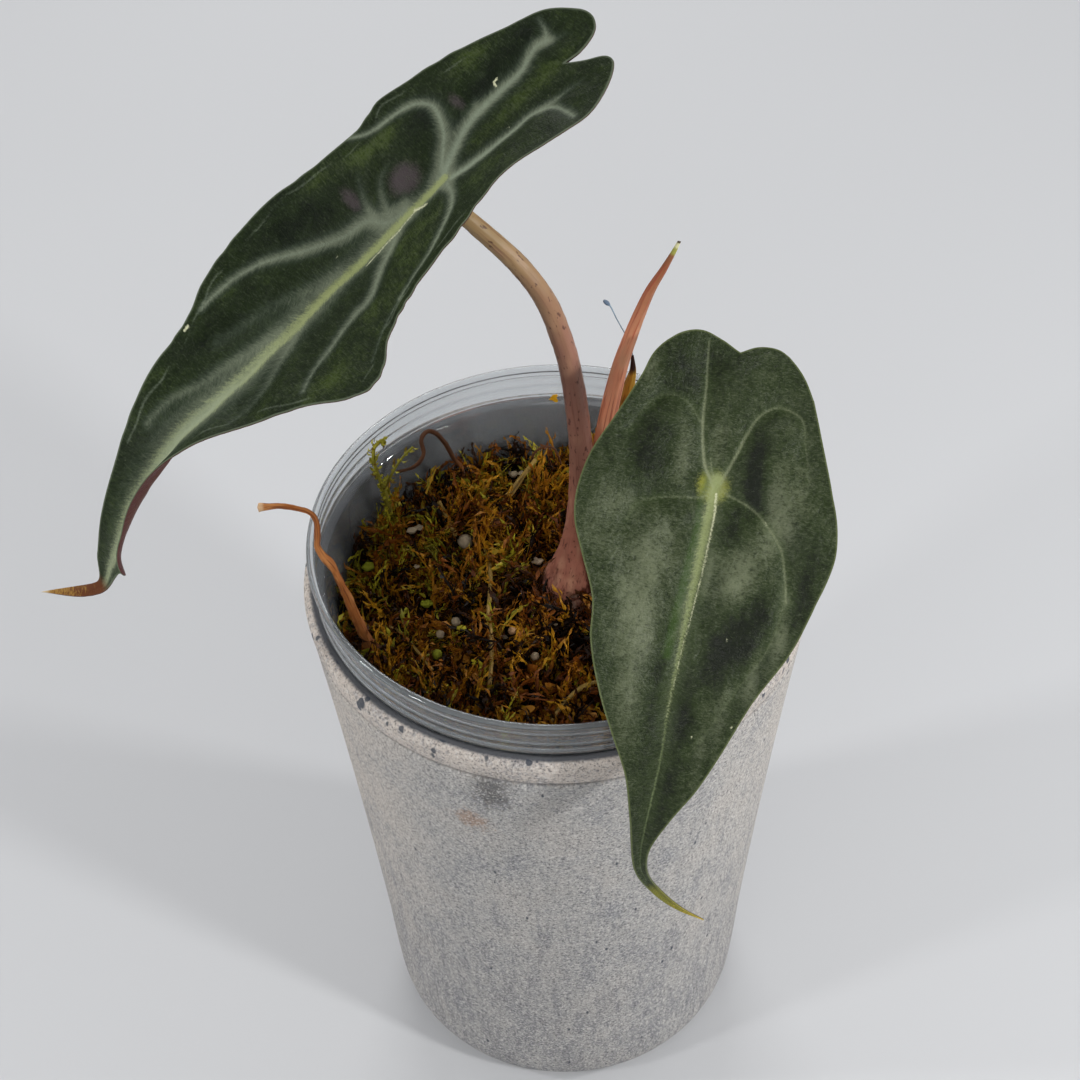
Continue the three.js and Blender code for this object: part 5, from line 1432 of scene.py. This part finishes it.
class ALOCASIA_OT_moss(AlocasiaOperator, bpy.types.Operator):
    """Lay the moss bed and its leafy sprigs"""
    bl_idname = "alocasia.moss"
    bl_label = "Moss"

    def execute(self, context):
        colours, sizes = context.scene.alocasia_colours, context.scene.alocasia_sizes
        # The near-black ground is painted shade for the bed and the lowest sprigs
        material = moss_material("sphagnum_leaves", [
            "#0f0500", (0.14, "#331802"), (0.28, "#6d3807"), (0.42, "#96600e"),
            (0.56, tuple(colours.moss_ochre)), (0.74, tuple(colours.moss_olive)), (0.9, "#aea429"),
            (1.08, "#d0ac70")])
        finish_piece(moss_bed(), material, "moss", "moss_fill")
        crown_x, crown_y, crown_z = CROWN["middle"]
        clear = [*grain_spots(), ((crown_x - 1, crown_y, crown_z + 6), 4.2)]
        rng = random.Random(MOSS_SEED)
        kinds = [sprig(rng, rng.choice(SPRIG_BOWS), *rng.choice(LEAFLET_SIZES)) for _ in range(SPRIG_KINDS)]
        count, length = sizes.moss_sprigs // len(SPRIG_HEAPS), sizes.sprig_length / MM
        for name, shades, scale, greener in SPRIG_HEAPS:
            heap = sprig_heap(name, rng, kinds, count, length * scale, shades, clear, greener)
            finish_piece(heap, material, "moss", angle=100)
        scraps = moss_material("dead_leaf_scraps", ["#4a2208", (0.3, "#8a4e14"), (0.55, "#b98030")])
        finish_piece(litter(rng, LITTER_SCRAPS, clear), scraps, "moss")
        return {"FINISHED"}


class ALOCASIA_OT_moss_details(AlocasiaOperator, bpy.types.Operator):
    """Add the grains, the straws, the root loops, the green curl and the yellow scrap in the moss"""
    bl_idname = "alocasia.moss_details"
    bl_label = "Grains, roots and curls"

    def execute(self, context):
        spots = grain_spots()
        grain_look = moss_material("perlite_and_bark_crumbs", [
            "#d2bfa0", (0.3, "#c49c74"), (0.55, "#8c8432"), (0.8, "#a9b032")], 0.7)
        for i, (middle, radius) in enumerate(spots[:len(BEADS)]):
            grain = lumpy_ball(f"grain_{i + 1}", middle, radius, i, 0.1, tint=BEADS[i][3])
            finish_piece(grain, grain_look, "bead", f"bead_{i + 1}")
        for i, (middle, radius) in enumerate(spots[len(BEADS):]):
            crumb = lumpy_ball(f"crumb_{i + 1}", middle, radius, i + 20, 0.35, (1.2, 0.9, 0.7),
                               CRUMBS[i][3])
            finish_piece(crumb, grain_look, "bead")
        bark, straw, green = map(fibre_material, ("dry_root_bark", "dead_moss_stem", "green_moss_stem"))
        root = tube("wiry_root_loop", ROOT_LOOP, sides=10, spacing=0.6, wrinkle=0.25, seed=2)
        finish_piece(root, bark, "root", "root_loop")
        finish_piece(tube("hair_root", THIN_ROOT, sides=8, spacing=0.6, wrinkle=0.2, seed=4), bark, "root")
        for i, shape in enumerate(STRAWS):
            stem = tube(f"dead_stem_{i + 1}", shape, sides=9, spacing=0.8, wrinkle=0.35, seed=i)
            finish_piece(stem, straw, "moss")
        thin = {**GREEN_CURL, "radii": [r * 0.5 for r in GREEN_CURL["radii"]]}
        curl = tube("moss_curl_stem", thin, sides=9, spacing=0.8, wrinkle=0.3, seed=6)
        finish_piece(curl, green, "green_moss", "green_moss_curl")
        branch = tube("moss_curl_branch", CURL_BRANCH, sides=8, spacing=0.8, wrinkle=0.3, seed=7)
        finish_piece(branch, green, "green_moss")
        leaves = moss_material("green_moss_leaves", ["#6b5413", (0.6, "#8f8a20"), (0.8, "#b0a832")])
        finish_piece(curl_frill(random.Random(MOSS_SEED + 1)), leaves, "green_moss", angle=30)
        yellow = moss_material("yellow_sphagnum", ["#c9971d", (0.55, "#e0b53a")])
        scrap = lumpy_ball("yellow_moss_scrap", YELLOW_SCRAP["middle"], 1, 5, 0.7, YELLOW_SCRAP["size"],
                           0.5)
        finish_piece(scrap, yellow, "yellow_moss", "yellow_moss_flake")
        return {"FINISHED"}


def dress_blade(context, side, names, leaf, marks, chosen):
    """Shapes one blade and gives it its skin. side is its column of BLADE_LOOKS, names are those of the
    piece, the skin and the node, and chosen are the colours that the panel offers."""
    name, skin, node = names
    piece = blade_piece(name, leaf, marks, context.scene.alocasia_sizes.blade_spacing / MM)
    look = {key: pair[side] for key, pair in BLADE_LOOKS.items()}
    look.update({key: tuple(colour) for key, colour in chosen.items()})
    finish_piece(piece, leaf_material(skin, look), "leaf", node, angle=70)


class ALOCASIA_OT_left_leaf(AlocasiaOperator, bpy.types.Operator):
    """Shape and colour the large dark leaf"""
    bl_idname = "alocasia.left_leaf"
    bl_label = "Left leaf"

    def execute(self, context):
        colours = context.scene.alocasia_colours
        dress_blade(context, 0, ("dark_leaf", "dark_waxy_leaf", "left_leaf_blade"), LEFT_LEAF, LEFT_MARKS,
                    {"dark": colours.leaf_dark, "halo": colours.halo, "midrib": colours.midrib})
        return {"FINISHED"}


class ALOCASIA_OT_right_leaf(AlocasiaOperator, bpy.types.Operator):
    """Shape and colour the grey-green leaf"""
    bl_idname = "alocasia.right_leaf"
    bl_label = "Right leaf"

    def execute(self, context):
        colours = context.scene.alocasia_colours
        dress_blade(context, 1, ("green_leaf", "satin_green_leaf", "right_leaf_blade"), RIGHT_LEAF,
                    RIGHT_MARKS, {"middle": colours.leaf_green})
        return {"FINISHED"}


class ALOCASIA_OT_stalks(AlocasiaOperator, bpy.types.Operator):
    """Raise the two leaf stalks and colour the corm"""
    bl_idname = "alocasia.stalks"
    bl_label = "Leaf stalks and corm"

    def execute(self, context):
        skin = fibre_material("leaf_stalk_skin", tuple(context.scene.alocasia_colours.petiole))
        left = tube("left_leaf_stalk", LEFT_PETIOLE, sides=28, spacing=0.7, wrinkle=0.05, seed=1)
        finish_piece(left, skin, "petiole", "left_petiole")
        right = tube("right_leaf_stalk", RIGHT_PETIOLE, sides=24, spacing=0.7, wrinkle=0.05, seed=3)
        finish_piece(right, skin, "petiole", "right_petiole")
        crown = lumpy_ball("bulb_crown", CROWN["middle"], 1, 9, 0.06, CROWN["size"])
        offsets = np.array([point.co for point in crown.data.vertices]) / MM - CROWN["middle"]
        carry(crown, "straight", offsets * MM)
        carry(crown, "along", offsets[:, 2] / CROWN["size"][2] / 2 + 0.5)
        finish_piece(crown, fibre_material("bulb_skin"), "corm")
        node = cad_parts["corm_with_roots"]
        node.data.materials.clear()
        node.data.materials.append(corm_material())
        return {"FINISHED"}


class ALOCASIA_OT_sheaths(AlocasiaOperator, bpy.types.Operator):
    """Raise the pink sheath, the old sheath and its filament"""
    bl_idname = "alocasia.sheaths"
    bl_label = "Sheaths"

    def execute(self, context):
        young_skin = fibre_material("young_sheath_skin", tuple(context.scene.alocasia_colours.sheath))
        finish_piece(sheath_piece("young_sheath", SHEATH, flutes=0.02), young_skin, "sheath", "pink_sheath")
        old = sheath_piece("old_sheath_scale", OLD_SHEATH, flutes=0.03)
        finish_piece(old, fibre_material("papery_old_sheath"), "dry_sheath", "old_sheath")
        thread = tube("pale_filament", FILAMENT, sides=10, spacing=0.5)
        finish_piece(thread, fibre_material("dry_thread"), "filament", "sheath_filament")
        return {"FINISHED"}


class ALOCASIA_OT_dry_stalk(AlocasiaOperator, bpy.types.Operator):
    """Bend the withered stalk over the rim"""
    bl_idname = "alocasia.dry_stalk"
    bl_label = "Dry stalk"

    def execute(self, context):
        stalk = tube("withered_stalk", DRY_STALK, sides=18, spacing=0.5, wrinkle=0.28, seed=8)
        finish_piece(stalk, fibre_material("withered_stalk_skin"), "dry_stalk", "dry_stalk")
        return {"FINISHED"}


class ALOCASIA_OT_stage(AlocasiaOperator, bpy.types.Operator):
    """Set the camera, the floor, the soft lights and the surroundings"""
    bl_idname = "alocasia.stage"
    bl_label = "Camera, floor and lights"

    def execute(self, context):
        scene = context.scene
        deselect()
        bpy.ops.mesh.primitive_plane_add(size=FLOOR_METRES, location=(0, 0, 0))
        floor = bpy.context.object
        floor.name = "paper_floor"
        floor.data.materials.append(floor_material())

        pitch, roll = math.radians(VIEW_PITCH), math.radians(VIEW_ROLL)
        back = Vector((0, -math.cos(pitch), math.sin(pitch)))
        level = Vector((1, 0, 0))
        upright = level.cross(-back)
        right = math.cos(roll) * level + math.sin(roll) * upright
        up = -math.sin(roll) * level + math.cos(roll) * upright
        place = (Vector(VIEW_TARGET) + VIEW_DISTANCE * back) * MM
        lens = bpy.data.cameras.new("photo_camera")
        lens.sensor_fit = "HORIZONTAL"
        lens.sensor_width = SENSOR
        lens.lens = FOCAL_LENGTH
        lens.clip_start = 0.05
        camera = bpy.data.objects.new("photo_camera", lens)
        scene.collection.objects.link(camera)
        camera.matrix_world = Matrix.Translation(place) @ Matrix((right, up, back)).transposed().to_4x4()
        scene.camera = camera

        for name, bearing, rise, distance, width, height, power in SOFTBOXES:
            lamp = bpy.data.lights.new(name, "AREA")
            lamp.shape = "RECTANGLE"
            lamp.size, lamp.size_y = width * MM, height * MM
            lamp.energy = power
            light = bpy.data.objects.new(name, lamp)
            scene.collection.objects.link(light)
            bearing, rise = math.radians(bearing), math.radians(rise)
            away = Vector((math.cos(bearing) * math.cos(rise), math.sin(bearing) * math.cos(rise),
                           math.sin(rise)))
            light.location = (Vector(LIGHTS_AIM) + away * distance) * MM
            light.rotation_euler = away.to_track_quat("Z", "Y").to_euler()

        world = bpy.data.worlds.new("soft_room")
        scene.world = world
        world.use_nodes = True
        sky = world.node_tree.nodes["Background"]
        sky.inputs["Color"].default_value = linear(ROOM_COLOUR)
        sky.inputs["Strength"].default_value = ROOM_STRENGTH
        scene.view_settings.view_transform = "Standard"
        return {"FINISHED"}


STEPS = (ALOCASIA_OT_cover_pot, ALOCASIA_OT_nursery_cup, ALOCASIA_OT_moss, ALOCASIA_OT_moss_details,
         ALOCASIA_OT_left_leaf, ALOCASIA_OT_right_leaf, ALOCASIA_OT_stalks, ALOCASIA_OT_sheaths,
         ALOCASIA_OT_dry_stalk, ALOCASIA_OT_stage)


class ALOCASIA_PT_maker(bpy.types.Panel):
    """Sizes, colours and steps of the potted alocasia"""
    bl_idname = "ALOCASIA_PT_maker"
    bl_label = "Potted alocasia"
    bl_space_type = "VIEW_3D"
    bl_region_type = "UI"
    bl_category = "Alocasia"

    def draw(self, context):
        for group in (context.scene.alocasia_sizes, context.scene.alocasia_colours):
            for name in group.__annotations__:
                self.layout.prop(group, name)
        for step in STEPS:
            self.layout.operator(step.bl_idname)


CLASSES = (PlantSizes, PlantColours, *STEPS, ALOCASIA_PT_maker)


def register():
    for item in CLASSES:
        bpy.utils.register_class(item)
    bpy.types.Scene.alocasia_sizes = PointerProperty(type=PlantSizes)
    bpy.types.Scene.alocasia_colours = PointerProperty(type=PlantColours)


def unregister():
    del bpy.types.Scene.alocasia_colours
    del bpy.types.Scene.alocasia_sizes
    for item in reversed(CLASSES):
        bpy.utils.unregister_class(item)


def main():
    register()
    for step in STEPS:
        family, action = step.bl_idname.split(".")
        getattr(getattr(bpy.ops, family), action)()


if __name__ == "__main__":
    main()
